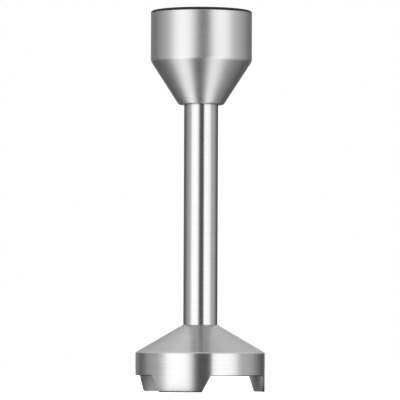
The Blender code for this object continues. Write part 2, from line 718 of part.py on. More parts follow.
def make_shaft_fittings(rotor_axis):
    """Add the pin, sleeve and clip that are fixed to the shaft."""
    cross_hole("coupling_pin", PIN_RADIUS, PIN_LENGTH, PIN_Z, rotor_axis)
    sleeve_bottom = BEARING_Z + BEARING_HALF_WIDTH + GAP
    sleeve = ring_outline(SHAFT_RADIUS + GAP, SLEEVE_RADIUS, sleeve_bottom, COUPLING_Z - GAP)
    turned("spacer_sleeve", sleeve, STEEL, COARSE, rotor_axis)
    clip = ring_outline(E_CLIP_BORE, E_CLIP_RADIUS, E_CLIP_Z, E_CLIP_Z + E_CLIP_THICKNESS)
    swept_arc("shaft_e_clip", clip, E_CLIP_SWEEP, STEEL, COARSE, rotor_axis)


# Bushes, housing and seal ------------------------------------------------------------------

def make_centre_bush():
    """Add the bush that steadies the shaft, and the soft sleeve round it."""
    flange = CENTRE_FLANGE_THICKNESS
    outline = [(BUSH_BORE, 0), (CENTRE_FLANGE_RADIUS, 0), (CENTRE_FLANGE_RADIUS, flange),
               (CENTRE_BUSH_RADIUS, flange), (CENTRE_BUSH_RADIUS, CENTRE_BUSH_LENGTH - flange),
               (CENTRE_FLANGE_RADIUS, CENTRE_BUSH_LENGTH - flange),
               (CENTRE_FLANGE_RADIUS, CENTRE_BUSH_LENGTH), (BUSH_BORE, CENTRE_BUSH_LENGTH)]
    turned("centre_bush", outline, WHITE_PLASTIC, COARSE).location.z = CENTRE_BUSH_Z
    sleeve = ring_outline(CENTRE_BUSH_RADIUS + GAP, SPIGOT_RADIUS, flange + GAP,
                          CENTRE_BUSH_LENGTH - flange - GAP)
    turned("centre_damper", sleeve, RUBBER, COARSE).location.z = CENTRE_BUSH_Z


def make_lower_housing():
    """Add the housing at the tube's foot."""
    bush_seat = LOWER_BUSH_RADIUS + GAP
    seal_seat = SEAL_RADIUS + GAP
    bush_top = LOWER_BUSH_Z + LOWER_BUSH_LENGTH + GAP
    outline = [(seal_seat, HOUSING_BOTTOM_Z), (HOUSING_NOSE_RADIUS, HOUSING_BOTTOM_Z),
               (HOUSING_NOSE_RADIUS, HOUSING_FLANGE_Z), (HOUSING_FLANGE_RADIUS, HOUSING_FLANGE_Z),
               (HOUSING_FLANGE_RADIUS, TUBE_BOTTOM_Z - GAP), (SPIGOT_RADIUS, TUBE_BOTTOM_Z - GAP)]
    outline += groove(SPIGOT_RADIUS, HOUSING_O_RING_RADIUS, HOUSING_GROOVE_Z)
    outline += [(SPIGOT_RADIUS, HOUSING_TOP_Z), (HOUSING_BORE, HOUSING_TOP_Z),
                (HOUSING_BORE, bush_top), (bush_seat, bush_top),
                (bush_seat, LOWER_BUSH_Z - GAP), (HOUSING_NECK, LOWER_BUSH_Z - GAP),
                (HOUSING_NECK, SEAL_Z + SEAL_HEIGHT + GAP),
                (seal_seat, SEAL_Z + SEAL_HEIGHT + GAP)]
    turned("lower_housing", outline, GREY_PLASTIC, MEDIUM)


def make_lower_bush():
    """Add the bronze bush in the housing."""
    outline = ring_outline(BUSH_BORE, LOWER_BUSH_RADIUS, 0, LOWER_BUSH_LENGTH, chamfer=0.3 * MM)
    turned("lower_bush", outline, BRONZE, COARSE).location.z = LOWER_BUSH_Z


def make_lip_seal():
    """Add the rubber seal, its garter spring and the cap below it."""
    web = SEAL_HEIGHT - 1.5 * MM
    inner = BUSH_BORE + 0.45 * MM
    back = inner + 0.5 * MM
    lip_z = SEAL_LIP_HEIGHT
    outline = [(BUSH_BORE, lip_z + 0.4 * MM), (back - 0.2 * MM, lip_z), (back, lip_z + 0.6 * MM),
               (back, web), (SEAL_RADIUS - SEAL_WALL, web), (SEAL_RADIUS - SEAL_WALL, 0),
               (SEAL_RADIUS, 0), (SEAL_RADIUS, SEAL_HEIGHT), (inner, SEAL_HEIGHT),
               (inner, lip_z + 2.5 * MM)]
    turned("lip_seal", outline, RUBBER, COARSE).location.z = SEAL_Z
    spring = circle_outline(SEAL_SPRING_CIRCLE, SEAL_SPRING_RADIUS, 2.0 * MM)
    turned("seal_spring", spring, STEEL, COARSE).location.z = SEAL_Z
    cap = ring_outline(CAP_BORE, CAP_RADIUS, 0, CAP_THICKNESS, chamfer=0.3 * MM)
    turned("seal_cap", cap, GREY_PLASTIC, MEDIUM).location.z = CAP_Z


# Cutter ------------------------------------------------------------------------------------

def wing_section(reach, pitch, direction):
    """Return the blade's section at a distance along one wing, with its leading edge thinned."""
    beyond_root = max(0.0, reach - BLADE_ROOT)
    share = beyond_root / (BLADE_RADIUS - BLADE_ROOT)
    half_width = BLADE_HALF_WIDTH + (BLADE_TIP_HALF_WIDTH - BLADE_HALF_WIDTH) * share
    edge = BLADE_EDGE_THICKNESS if beyond_root > 0 else BLADE_THICKNESS
    rise = beyond_root * math.tan(pitch)
    thick_side = half_width - BLADE_EDGE_WIDTH
    points = [(-half_width, 0), (thick_side, 0), (half_width, 0), (half_width, edge),
              (thick_side, BLADE_THICKNESS), (-half_width, BLADE_THICKNESS)]
    return [Vector((direction * reach, direction * y, rise + z)) for y, z in points]


def make_blade(rotor_axis):
    """Add the two-winged blade, one wing bent up and the other down."""
    reaches = [BLADE_RADIUS, BLADE_RADIUS - 3.0 * MM, BLADE_ROOT + 2.0 * MM, BLADE_ROOT]
    sections = [wing_section(reach, WING_UP, 1) for reach in reaches]
    for reach in reversed(reaches):
        section = wing_section(reach, WING_DOWN, -1)
        sections.append([section[i] for i in (2, 1, 0, 5, 4, 3)])
    blade = lofted("blade", sections, BLADE_STEEL, parent=rotor_axis)
    blade.location.z = BLADE_Z
    blade.rotation_euler.z = BLADE_FACING
    hole = cylinders("tool_blade_hole", [Vector((0, 0))], STUD_HOLE, BLADE_Z - OVERSHOOT,
                     BLADE_Z + BLADE_THICKNESS + OVERSHOOT)
    shape_with(blade, hole, "DIFFERENCE")


def make_blade_fixings(rotor_axis):
    """Add the hub above the blade, and the washer and nut below it."""
    bore = SHAFT_RADIUS + GAP
    neck = 1.4 * MM
    hub = [(bore, 0), (HUB_FLANGE_RADIUS, 0), (HUB_FLANGE_RADIUS, neck),
           (HUB_RADIUS, 2 * neck), (HUB_RADIUS, HUB_HEIGHT - neck),
           (HUB_RADIUS - neck / 2, HUB_HEIGHT), (bore, HUB_HEIGHT)]
    turned("blade_hub", hub, STEEL, COARSE, rotor_axis).location.z = HUB_Z
    thrust = ring_outline(bore, THRUST_RADIUS, 0, THRUST_THICKNESS)
    turned("thrust_washer", thrust, WHITE_PLASTIC, COARSE, rotor_axis).location.z = THRUST_Z
    washer = ring_outline(STUD_HOLE, WASHER_RADIUS, 0, WASHER_THICKNESS)
    turned("blade_washer", washer, STEEL, COARSE, rotor_axis).location.z = WASHER_Z
    make_blade_nut(rotor_axis)


def make_blade_nut(rotor_axis):
    """Add the hexagon nut, with its corners turned off below."""
    corner = NUT_ACROSS_FLATS / math.sqrt(3)
    angles = [i * math.tau / 6 for i in range(6)]
    levels = [(corner - NUT_CHAMFER, 0), (corner, NUT_CHAMFER), (corner, NUT_HEIGHT)]
    sections = [[on_circle(radius, angle, z) for angle in angles] for radius, z in levels]
    nut = lofted("blade_nut", sections, STEEL, parent=rotor_axis)
    nut.location.z = NUT_Z
    bore = cylinders("tool_nut_bore", [Vector((0, 0))], STUD_HOLE, NUT_Z - OVERSHOOT,
                     NUT_Z + NUT_HEIGHT + OVERSHOOT)
    shape_with(nut, bore, "DIFFERENCE")


# Assembly ----------------------------------------------------------------------------------

def make_fixed_pieces():
    """Add everything that stays still."""
    screw_holes = cylinders("tool_screw_holes", screw_places(), SCREW_HOLE,
                            FLANGE_Z - OVERSHOOT, SOCKET_FLOOR_Z + OVERSHOOT)
    make_bell_guard()
    make_shaft_tube()
    make_head_shell()
    make_rim_ring()
    make_coupling_socket(screw_holes)
    make_o_ring("socket_o_ring", SOCKET_RADIUS, SOCKET_O_RING_RADIUS, SOCKET_GROOVE_Z)
    make_socket_screws()
    make_bearing_carrier(screw_holes)
    make_wave_washer()
    make_bearing_circlip()
    make_bearing_shields()
    make_centre_bush()
    make_lower_housing()
    make_o_ring("housing_o_ring", SPIGOT_RADIUS, HOUSING_O_RING_RADIUS, HOUSING_GROOVE_Z)
    make_lower_bush()
    make_lip_seal()


def make_turning_pieces():
    """Add the drive line, which turns about one axis, and the balls, which follow it."""
    rotor_axis = make_axis("rotor_axis")
    cage_axis = make_axis("cage_axis")
    pin_hole = cross_hole("tool_pin_hole", PIN_RADIUS + GAP, 2 * COUPLING_RADIUS + 2 * OVERSHOOT,
                          PIN_Z, rotor_axis)
    make_bearing_races(rotor_axis)
    make_bearing_balls(cage_axis)
    make_drive_shaft(rotor_axis, pin_hole)
    make_drive_coupling(rotor_axis, pin_hole)
    make_shaft_fittings(rotor_axis)
    make_blade(rotor_axis)
    make_blade_fixings(rotor_axis)


clear_scene()
make_fixed_pieces()
make_turning_pieces()
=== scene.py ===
"""Looks of a detached blending arm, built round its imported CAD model.

Every piece is made in metres, in the CAD model's own frame: +Z runs up the arm's axis, the
guard stands on z = 0, and the middle of one foot of the guard faces -Y. A piece takes its
place and its main sizes from the box of the CAD node that it stands for, and its body and its
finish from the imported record.
"""

import json
from math import acos, atan2, ceil, cos, pi, radians, sin, tan, tau

import bmesh
import bpy
from mathutils import Matrix, Vector


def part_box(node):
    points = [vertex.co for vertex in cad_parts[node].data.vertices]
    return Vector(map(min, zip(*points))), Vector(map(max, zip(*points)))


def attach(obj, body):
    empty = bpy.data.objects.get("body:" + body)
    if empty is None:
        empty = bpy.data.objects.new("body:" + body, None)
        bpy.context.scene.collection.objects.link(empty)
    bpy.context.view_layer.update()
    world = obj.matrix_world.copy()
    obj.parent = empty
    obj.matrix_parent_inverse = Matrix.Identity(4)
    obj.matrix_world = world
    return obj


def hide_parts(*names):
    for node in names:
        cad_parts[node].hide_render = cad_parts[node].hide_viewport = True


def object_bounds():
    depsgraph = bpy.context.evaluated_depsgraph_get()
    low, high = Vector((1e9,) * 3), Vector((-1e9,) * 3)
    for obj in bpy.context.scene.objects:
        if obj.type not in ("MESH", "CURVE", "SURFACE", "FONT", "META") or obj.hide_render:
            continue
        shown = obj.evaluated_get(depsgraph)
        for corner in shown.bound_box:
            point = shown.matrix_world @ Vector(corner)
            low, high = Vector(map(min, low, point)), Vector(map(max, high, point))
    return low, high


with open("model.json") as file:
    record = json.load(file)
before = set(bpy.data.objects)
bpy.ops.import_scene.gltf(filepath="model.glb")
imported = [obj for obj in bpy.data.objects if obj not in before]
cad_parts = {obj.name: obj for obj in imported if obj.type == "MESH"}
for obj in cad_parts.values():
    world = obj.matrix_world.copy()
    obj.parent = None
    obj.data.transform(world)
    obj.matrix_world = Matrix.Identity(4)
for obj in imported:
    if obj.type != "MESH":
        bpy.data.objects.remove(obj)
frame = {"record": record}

MM = 0.001
CAD_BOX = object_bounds()

# Fineness
SHELL_FACETS = 216
CARRIER_FACETS = 160
HOUSING_FACETS = 144
PART_FACETS = 120
STUD_FACETS = 64
CUTTER_FACETS = 48
WIRE_FACETS = 24
ARC_STEP = radians(10)
EDGE_STEPS = 5
SHARP_ANGLE = radians(32)
ON_AXIS = 1e-7
FIT = 0.02 * MM            # between pieces that touch

# Camera
CAMERA_DISTANCE = 2200 * MM
CAMERA_HEIGHT = 31 * MM
CAMERA_AZIMUTH = radians(18.9)
CAMERA_ROLL = radians(0.23)
CAMERA_LENS = 337.75
AIM_HEIGHT = 112.26 * MM
AIM_ASIDE = 0.45 * MM


# Outlines

def on_circle(radius, angle, z=0.0):
    """Return the point at an angle about Z."""
    return Vector((radius * cos(angle), radius * sin(angle), z))


def around(count, first=0.0, last=tau):
    """Return even angles over a turn, or over part of one with both its ends."""
    is_turn = last - first > tau - 1e-6
    return [first + (last - first) * i / (count if is_turn else count - 1) for i in range(count)]


def fillet(before, corner, after, radius, steps=None):
    """Return the points of the arc that rounds a corner."""
    toward = (before - corner).normalized()
    away = (after - corner).normalized()
    half_angle = toward.angle(away) / 2
    setback = radius / tan(half_angle)
    centre = corner + (toward + away).normalized() * (radius / sin(half_angle))
    start = corner + toward * setback - centre
    end = corner + away * setback - centre
    first = atan2(start.y, start.x)
    sweep = (atan2(end.y, end.x) - first + pi) % tau - pi
    steps = steps or max(2, ceil(abs(sweep) / ARC_STEP))
    return [centre + on_circle(radius, first + sweep * i / steps).xy for i in range(steps + 1)]


def rounded(corners, closed=True, steps=None):
    """Return a path's points, with an arc at each corner that is given as (x, y, radius).

    Sections that are lofted together take a fixed number of steps in each arc, so they match.
    """
    points = [Vector(corner[:2]) for corner in corners]
    path = []
    for i, corner in enumerate(corners):
        is_end = not closed and i in (0, len(corners) - 1)
        if is_end or len(corner) < 3 or corner[2] <= 0:
            path.append(points[i])
        else:
            after = points[(i + 1) % len(points)]
            path += fillet(points[i - 1], points[i], after, corner[2], steps)
    return path


def line_meeting(point_a, along_a, point_b, along_b):
    """Return the point where two lines in the plane cross."""
    distance = (point_b - point_a).cross(along_b) / along_a.cross(along_b)
    return point_a + along_a * distance


def sheet_corners(corners, wall, edge):
    """Return the closed corners of a sheet whose outer face follows a path.

    The path's corners are (x, y, radius). The sheet lies to the path's right, and its two
    end faces have their edges rounded.
    """
    points = [Vector(corner[:2]) for corner in corners]
    runs = [(b - a).normalized() for a, b in zip(points, points[1:])]
    shifts = [Vector((run.y, -run.x)) * wall for run in runs]
    outer = [(*points[0], edge)] + list(corners[1:-1]) + [(*points[-1], edge)]
    inner = [(*(points[0] + shifts[0]), edge)]
    for i in range(1, len(points) - 1):
        corner = line_meeting(points[i] + shifts[i - 1], runs[i - 1], points[i] + shifts[i], runs[i])
        inner.append((*corner, max(corners[i][2] - wall, 0.2 * MM)))
    inner.append((*(points[-1] + shifts[-1]), edge))
    return outer + inner[::-1]


def rectangle(left, right, half_width):
    """Return the corners of a rectangle that lies along X."""
    return [(left, -half_width), (right, -half_width), (right, half_width), (left, half_width)]


def ring(inner, outer, bottom, top, edge=0.1 * MM):
    """Return the section of a plain ring with rounded edges."""
    return rounded([(inner, bottom, edge), (outer, bottom, edge),
                    (outer, top, edge), (inner, top, edge)], steps=EDGE_STEPS)


def wire(circle, radius, z):
    """Return the section of a round ring."""
    return [Vector((circle, z)) + on_circle(radius, turn).xy for turn in around(WIRE_FACETS)]


# Meshes

def skin(bm, ring_a, ring_b):
    """Join two matching rings of points with faces."""
    for i in range(len(ring_a)):
        corners = [ring_a[i - 1], ring_a[i], ring_b[i], ring_b[i - 1]]
        face = list(dict.fromkeys(corners))
        if len(face) > 2:
            bm.faces.new(face)


def turned(section, facets=PART_FACETS):
    """Spin a section (radius, height) about Z. One that starts and ends on Z is solid."""
    bm = bmesh.new()
    turns = around(facets)
    rings = []
    for radius, height in section:
        if radius < ON_AXIS:
            rings.append([bm.verts.new((0, 0, height))] * facets)
        else:
            rings.append([bm.verts.new(on_circle(radius, turn, height)) for turn in turns])
    for ring_a, ring_b in zip(rings, rings[1:] + rings[:1]):
        skin(bm, ring_a, ring_b)
    return bm


def lofted(sections, wrap=False):
    """Skin matching sections. The ends are capped, or the last section joins the first."""
    bm = bmesh.new()
    rings = [[bm.verts.new(point) for point in section] for section in sections]
    following = rings[1:]
    if wrap:
        following.append(rings[0])
    else:
        bm.faces.new(rings[0])
        bm.faces.new(rings[-1])
    for ring_a, ring_b in zip(rings, following):
        skin(bm, ring_a, ring_b)
    return bm


def swept(section_at, angles, wrap=False):
    """Loft sections (radius, height) that may change with the angle about Z."""
    return lofted([[on_circle(radius, angle, height) for radius, height in section_at(angle)]
                   for angle in angles], wrap)


def rod(radius, bottom, top):
    """Return an upright cylinder, for cutting."""
    return turned([(0, bottom), (radius, bottom), (radius, top), (0, top)], CUTTER_FACETS)


def joined(meshes):
    """Put several meshes that lie apart into one."""
    result = bmesh.new()
    for bm in meshes:
        mesh = bpy.data.meshes.new("work")
        bm.to_mesh(mesh)
        bm.free()
        result.from_mesh(mesh)
        bpy.data.meshes.remove(mesh)
    return result


def prism(outline, bottom, top, spread=1.0):
    """Raise an outline along Z. Its top may be larger than its bottom."""
    return lofted([[Vector((x, y, bottom)) for x, y in outline],
                   [Vector((x * spread, y * spread, top)) for x, y in outline]])


def moved(bm, place=(0, 0, 0), turn=0.0, axis="Z"):
    """Turn a mesh about an axis, then move it."""
    matrix = Matrix.Translation(place) @ Matrix.Rotation(turn, 4, axis)
    bmesh.ops.transform(bm, matrix=matrix, verts=bm.verts)
    return bm


def as_object(bm, name="work"):
    """Put a mesh in the scene, with its faces turned out."""
    bmesh.ops.recalc_face_normals(bm, faces=bm.faces)
    mesh = bpy.data.meshes.new(name)
    bm.to_mesh(mesh)
    bm.free()
    obj = bpy.data.objects.new(name, mesh)
    bpy.context.scene.collection.objects.link(obj)
    return obj


def combined(bm, tools, operation="DIFFERENCE"):
    """Cut tools from a mesh, or join them on, and return the new mesh."""
    target = as_object(bm)
    helpers = [as_object(tool) for tool in tools]
    for helper in helpers:
        modifier = target.modifiers.new("shape", "BOOLEAN")
        modifier.operation = operation
        modifier.object = helper
        modifier.solver = "EXACT"
    view = bpy.context.evaluated_depsgraph_get()
    view.update()
    result = bmesh.new()
    result.from_mesh(target.evaluated_get(view).data)
    for obj in [target, *helpers]:
        mesh = obj.data
        bpy.data.objects.remove(obj)
        bpy.data.meshes.remove(mesh)
    return result


# Materials

class Graph:
    """A short way to write a node tree."""

    def __init__(self, tree):
        self.tree = tree

    def node(self, kind, inputs=None, **settings):
        """Add a node. An input is a value, or the socket that feeds it."""
        node = self.tree.nodes.new(kind)
        for key, value in settings.items():
            setattr(node, key, value)
        for key, value in (inputs or {}).items():
            if isinstance(value, bpy.types.NodeSocket):
                self.tree.links.new(value, node.inputs[key])
            else:
                node.inputs[key].default_value = value
        return node

    def math(self, operation, *values):
        """Add a Math node and return its result."""
        return self.node("ShaderNodeMath", dict(enumerate(values)), operation=operation).outputs[0]

    def noise(self, vector, detail=3.0):
        """Return a noise value from about 0 to 1."""
        inputs = {"Vector": vector, "Scale": 1.0, "Detail": detail, "Roughness": 0.55}
        return self.node("ShaderNodeTexNoise", inputs).outputs["Fac"]

    def blend(self, value, start, end, low=0.0, high=1.0):
        """Return a value that goes from low to high as another goes from start to end."""
        inputs = {"Value": value, "From Min": start, "From Max": end, "To Min": low, "To Max": high}
        return self.node("ShaderNodeMapRange", inputs).outputs["Result"]

    def between(self, noise, low, high):
        """Spread a noise value over a range."""
        return self.blend(noise, 0.25, 0.75, low, high)


def new_material(name):
    """Return a material, its graph and its shader."""
    material = bpy.data.materials.new(name)
    material.use_nodes = True
    graph = Graph(material.node_tree)
    return material, graph, material.node_tree.nodes["Principled BSDF"]


def set_values(shader, values):
    """Set constants on a shader's own sockets."""
    for name, value in values.items():
        shader.inputs[name].default_value = value


def level_length(graph, x, y):
    """Return the length of a level vector."""
    level = graph.node("ShaderNodeCombineXYZ", {"X": x, "Y": y}).outputs[0]
    return graph.node("ShaderNodeVectorMath", {0: level}, operation="LENGTH").outputs["Value"]


def turned_lines(graph, fine, along):
    """Return coordinates for marks that run round Z, fine across and long round the axis."""
    place = graph.node("ShaderNodeTexCoord").outputs["Object"]
    axes = graph.node("ShaderNodeSeparateXYZ", {"Vector": place}).outputs
    radius = level_length(graph, axes["X"], axes["Y"])
    lane = graph.math("SUBTRACT", axes["Z"], graph.math("MULTIPLY", radius, 0.7))
    return graph.node("ShaderNodeCombineXYZ", {
        "X": graph.math("DIVIDE", axes["X"], along),
        "Y": graph.math("DIVIDE", axes["Y"], along),
        "Z": graph.math("DIVIDE", lane, fine)}).outputs[0]


def grains(graph, size):
    """Return coordinates for marks of one size every way."""
    place = graph.node("ShaderNodeTexCoord").outputs["Object"]
    inputs = {0: place, "Scale": 1 / size}
    return graph.node("ShaderNodeVectorMath", inputs, operation="SCALE").outputs["Vector"]


def tinted(graph, value, colour, spread):
    """Return a colour that a noise value makes a little darker or lighter."""
    dark = [channel * (1 - spread) for channel in colour]
    light = [min(channel * (1 + spread), 1.0) for channel in colour]
    inputs = {0: graph.between(value, 0.0, 1.0), 6: (*dark, 1), 7: (*light, 1)}
    return graph.node("ShaderNodeMix", inputs, data_type="RGBA").outputs[2]


def feed(graph, shader, colour, rough, height, depth, strength=1.0):
    """Give a shader its colour, its roughness and a bump."""
    bump = graph.node("ShaderNodeBump", {"Height": height, "Distance": depth, "Strength": strength})
    sources = {"Base Color": colour, "Roughness": rough, "Normal": bump.outputs["Normal"]}
    for name, source in sources.items():
        graph.tree.links.new(source, shader.inputs[name])


def brushed_metal(name, colour, roughness, anisotropy, fine=0.12 * MM, depth=0.6e-6, spread=0.05,
                  glancing=1.0):
    """Name and make a metal with fine marks that run round the arm's axis, and faint smudges.

    Glancing is how much of its reflection it keeps where it is seen edge on.
    """
    material, graph, shader = new_material(name)
    lines = graph.noise(turned_lines(graph, fine, 14 * MM), detail=4.0)
    bands = graph.noise(turned_lines(graph, 9 * fine, 40 * MM), detail=2.0)
    smudges = graph.noise(grains(graph, 17 * MM))
    marks = graph.math("ADD", graph.math("MULTIPLY", lines, 0.5), graph.math("MULTIPLY", bands, 0.5))
    rough = graph.between(graph.math("ADD", graph.math("MULTIPLY", marks, 0.75),
                                     graph.math("MULTIPLY", smudges, 0.25)),
                          roughness * 0.86, roughness * 1.14)
    feed(graph, shader, tinted(graph, marks, colour, spread), rough, marks, depth)
    tangent = graph.node("ShaderNodeTangent", direction_type="RADIAL", axis="Z")
    set_values(shader, {"Metallic": 1.0, "Specular Tint": (glancing, glancing, glancing, 1),
                        "Anisotropic": anisotropy, "Anisotropic Rotation": 0.25})
    graph.tree.links.new(tangent.outputs["Tangent"], shader.inputs["Tangent"])
    return name, material


def plain_metal(name, colour, roughness, grain=0.6 * MM, depth=3e-6, spread=0.06):
    """Name and make a metal with an even, fine grain and faint smudges."""
    material, graph, shader = new_material(name)
    grain_noise = graph.noise(grains(graph, grain), detail=4.0)
    smudges = graph.noise(grains(graph, 12 * grain))
    rough = graph.between(smudges, roughness * 0.8, roughness * 1.25)
    set_values(shader, {"Metallic": 1.0})
    feed(graph, shader, tinted(graph, grain_noise, colour, spread), rough, grain_noise, depth)
    return name, material


def moulded(name, colour, roughness, grain=0.25 * MM, depth=8e-6, spread=0.12):
    """Name and make a moulded plastic or rubber with a fine texture and uneven gloss."""
    material, graph, shader = new_material(name)
    texture = graph.noise(grains(graph, grain), detail=2.0)
    clouds = graph.noise(grains(graph, 30 * grain))
    rough = graph.between(clouds, roughness * 0.88, roughness * 1.12)
    feed(graph, shader, tinted(graph, clouds, colour, spread), rough, texture, depth, 0.8)
    return name, material


MATERIALS = dict([
    brushed_metal("brushed_steel", (0.62, 0.62, 0.62), 0.23, 0.95, spread=0.08, glancing=0.6),
    brushed_metal("polished_steel", (0.62, 0.62, 0.62), 0.22, 0.95, depth=0.3e-6, spread=0.06,
                  glancing=0.3),
    moulded("black_rubber", (0.006, 0.006, 0.006), 0.8),
    moulded("seal_rubber", (0.02, 0.02, 0.021), 0.55),
    moulded("black_plastic", (0.018, 0.018, 0.019), 0.4, grain=0.4 * MM),
    moulded("grey_plastic", (0.2, 0.2, 0.21), 0.45, grain=0.4 * MM),
    moulded("white_plastic", (0.72, 0.71, 0.67), 0.42, grain=0.4 * MM, spread=0.04),
    plain_metal("fastener_steel", (0.56, 0.56, 0.57), 0.26),
    plain_metal("bearing_steel", (0.6, 0.6, 0.61), 0.12, depth=0.5e-6),
    plain_metal("spring_steel", (0.42, 0.42, 0.44), 0.3),
    brushed_metal("ground_steel", (0.6, 0.6, 0.6), 0.22, 0.6),
    plain_metal("blade_steel", (0.64, 0.64, 0.65), 0.2, grain=0.35 * MM),
    plain_metal("cast_aluminium", (0.66, 0.66, 0.67), 0.42, grain=0.9 * MM, depth=2e-5),
    plain_metal("bronze", (0.6, 0.4, 0.2), 0.4, grain=0.3 * MM, depth=1.2e-5, spread=0.2),
    brushed_metal("satin_steel", (0.63, 0.63, 0.63), 0.37, 0.3, spread=0.035, glancing=0.6),
    plain_metal("ground_edge", (0.74, 0.74, 0.75), 0.24, grain=0.12 * MM, depth=1.5e-6)])


# Pieces

BODY_OF = {node: body for body, nodes in frame["record"]["behaviour"]["bodies"].items()
           for node in nodes}
SLOT_OF = {item["node"]: item["material_slot"] for item in frame["record"]["subparts"]}


def show(name, bm, node, edge=0.0, finishes=()):
    """Put a finished piece in the scene in place of a CAD node, on its body and in its finish."""
    bmesh.ops.remove_doubles(bm, verts=bm.verts, dist=ON_AXIS * 10)
    obj = as_object(bm, name)
    for finish in finishes or [SLOT_OF[node]]:
        obj.data.materials.append(MATERIALS[finish])
    obj.data.shade_smooth()
    obj.data.set_sharp_from_angle(angle=SHARP_ANGLE)
    if edge > 0:
        bevel = obj.modifiers.new("edges", "BEVEL")
        bevel.width = edge
        bevel.segments = 2
        bevel.limit_method = "ANGLE"
        bevel.angle_limit = SHARP_ANGLE
    normals = obj.modifiers.new("normals", "WEIGHTED_NORMAL")
    normals.keep_sharp = True
    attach(obj, BODY_OF[node])
    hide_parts(node)
    return obj


def reach(node):
    """Return a turned node's radius, bottom and top."""
    low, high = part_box(node)
    return high.x, low.z, high.z


TUBE_RADIUS, TUBE_BOTTOM, TUBE_TOP = reach("shaft_tube")


# Shells
HEAD_WALL = 0.8 * MM
HEAD_CORNER_RISE = 25.6 * MM       # from the lip to the corner
HEAD_CORNER_FILLET = 5 * MM
HEAD_LIP_RADIUS = 13.12 * MM
HEAD_LIP_FILLET = 2 * MM
HEAD_TOP_FILLET = 0.5 * MM
RIM_SEAT_Z = 222.05 * MM


def make_head():
    """Add the spun head: a cylinder, a cone and a lip that closes on the tube."""
    radius, bottom, _ = reach("head_shell")
    path = [(radius, RIM_SEAT_Z), (radius, bottom + HEAD_CORNER_RISE, HEAD_CORNER_FILLET),
            (HEAD_LIP_RADIUS, bottom, HEAD_LIP_FILLET), (TUBE_RADIUS + FIT, bottom)]
    corners = sheet_corners(path, HEAD_WALL, 0.2 * MM)
    corners[0] = (radius, RIM_SEAT_Z, HEAD_TOP_FILLET)
    head = turned(rounded(corners), SHELL_FACETS)
    show("spun_head", head, "head_shell", finishes=["satin_steel"])


RIM_BORE = 26.4 * MM
RIM_CROWN_WIDTH = 2 * MM
RIM_CROWN_STEPS = 10


def make_rim():
    """Add the soft ring, which falls away to its outer edge in a long curve."""
    radius, _, top = reach("rim_ring")
    bottom = RIM_SEAT_Z + FIT
    turns = around(RIM_CROWN_STEPS + 1, 0.0, pi / 2)
    crown = [Vector((radius - RIM_CROWN_WIDTH * (1 - cos(turn)),
                     bottom + (top - bottom) * sin(turn))) for turn in turns]
    inner = rounded([crown[-1], (RIM_BORE, top, 0.7 * MM), (RIM_BORE, bottom)], closed=False)
    show("soft_rim", turned(crown + inner[1:], SHELL_FACETS), "rim_ring")


def make_tube():
    """Add the polished tube."""
    wall = 1 * MM
    section = ring(TUBE_RADIUS - wall, TUBE_RADIUS, TUBE_BOTTOM, TUBE_TOP, 0.2 * MM)
    show("polished_tube", turned(section), "shaft_tube")


BELL_RADIUS = 38 * MM
BELL_FLARE = 0.06 * MM
BELL_WALL = 0.9 * MM
BELL_EDGE = 0.1 * MM
BELL_ROLL = 0.75 * MM      # where the outer face turns under at the lower edge
BELL_CORNER_Z = 22.9 * MM
BELL_CORNER_FILLET = 1.6 * MM
FOOT_COUNT = 3
FOOT_FACING = radians(-90)
FOOT_HALF_ANGLE = radians(20.5)
FOOT_ROOT_HALF_ANGLE = radians(28.5)
FOOT_CORNER_FILLET = 1.5 * MM
NOTCH_Z = 9.4 * MM
NOTCH_FILLET = 1.2 * MM
COLUMN_ANGLE = radians(1.5)
BELL_ARC_STEPS = 6


def foot_edge():
    """Return the bell's lower edge over one foot and half a notch each side, as (angle, z)."""
    half_pitch = pi / FOOT_COUNT
    side = [(half_pitch, NOTCH_Z), (FOOT_ROOT_HALF_ANGLE, NOTCH_Z, NOTCH_FILLET),
            (FOOT_HALF_ANGLE, 0.0, FOOT_CORNER_FILLET)]
    corners = [(-angle * BELL_RADIUS, *rest) for angle, *rest in side]
    corners += [(angle * BELL_RADIUS, *rest) for angle, *rest in reversed(side)]
    path = rounded(corners, closed=False)
    edge = []
    for start, end in zip(path, path[1:]):
        steps = ceil((end - start).length / BELL_RADIUS / COLUMN_ANGLE)
        edge += [start.lerp(end, i / steps) for i in range(steps)]
    return [(point.x / BELL_RADIUS, point.y) for point in edge]


def bell_section(angle, bottom, top):
    """Return the bell's section at an angle, for the height of its lower edge there."""
    flare = BELL_FLARE * (1 - bottom / BELL_CORNER_Z)
    path = [(TUBE_RADIUS + FIT, top), (BELL_RADIUS, BELL_CORNER_Z, BELL_CORNER_FILLET),
            (BELL_RADIUS + flare, bottom)]
    corners = sheet_corners(path, BELL_WALL, BELL_EDGE)
    corners[0] = (TUBE_RADIUS + FIT, top, 0.15 * MM)
    corners[2] = (BELL_RADIUS + flare, bottom, BELL_ROLL)
    corners[3] = (BELL_RADIUS + flare - BELL_WALL, bottom, BELL_EDGE)
    corners[-1] = (TUBE_RADIUS + FIT, top - 1.1 * MM, 0.15 * MM)
    return [on_circle(radius, angle, height)
            for radius, height in rounded(corners, steps=BELL_ARC_STEPS)]


def make_bell():
    """Add the pressed bell with its feet and notches."""
    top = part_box("bell_guard")[1].z
    sections = []
    for middle in around(FOOT_COUNT):
        sections += [bell_section(FOOT_FACING + middle + angle, z, top) for angle, z in foot_edge()]
    show("pressed_bell", lofted(sections, wrap=True), "bell_guard")


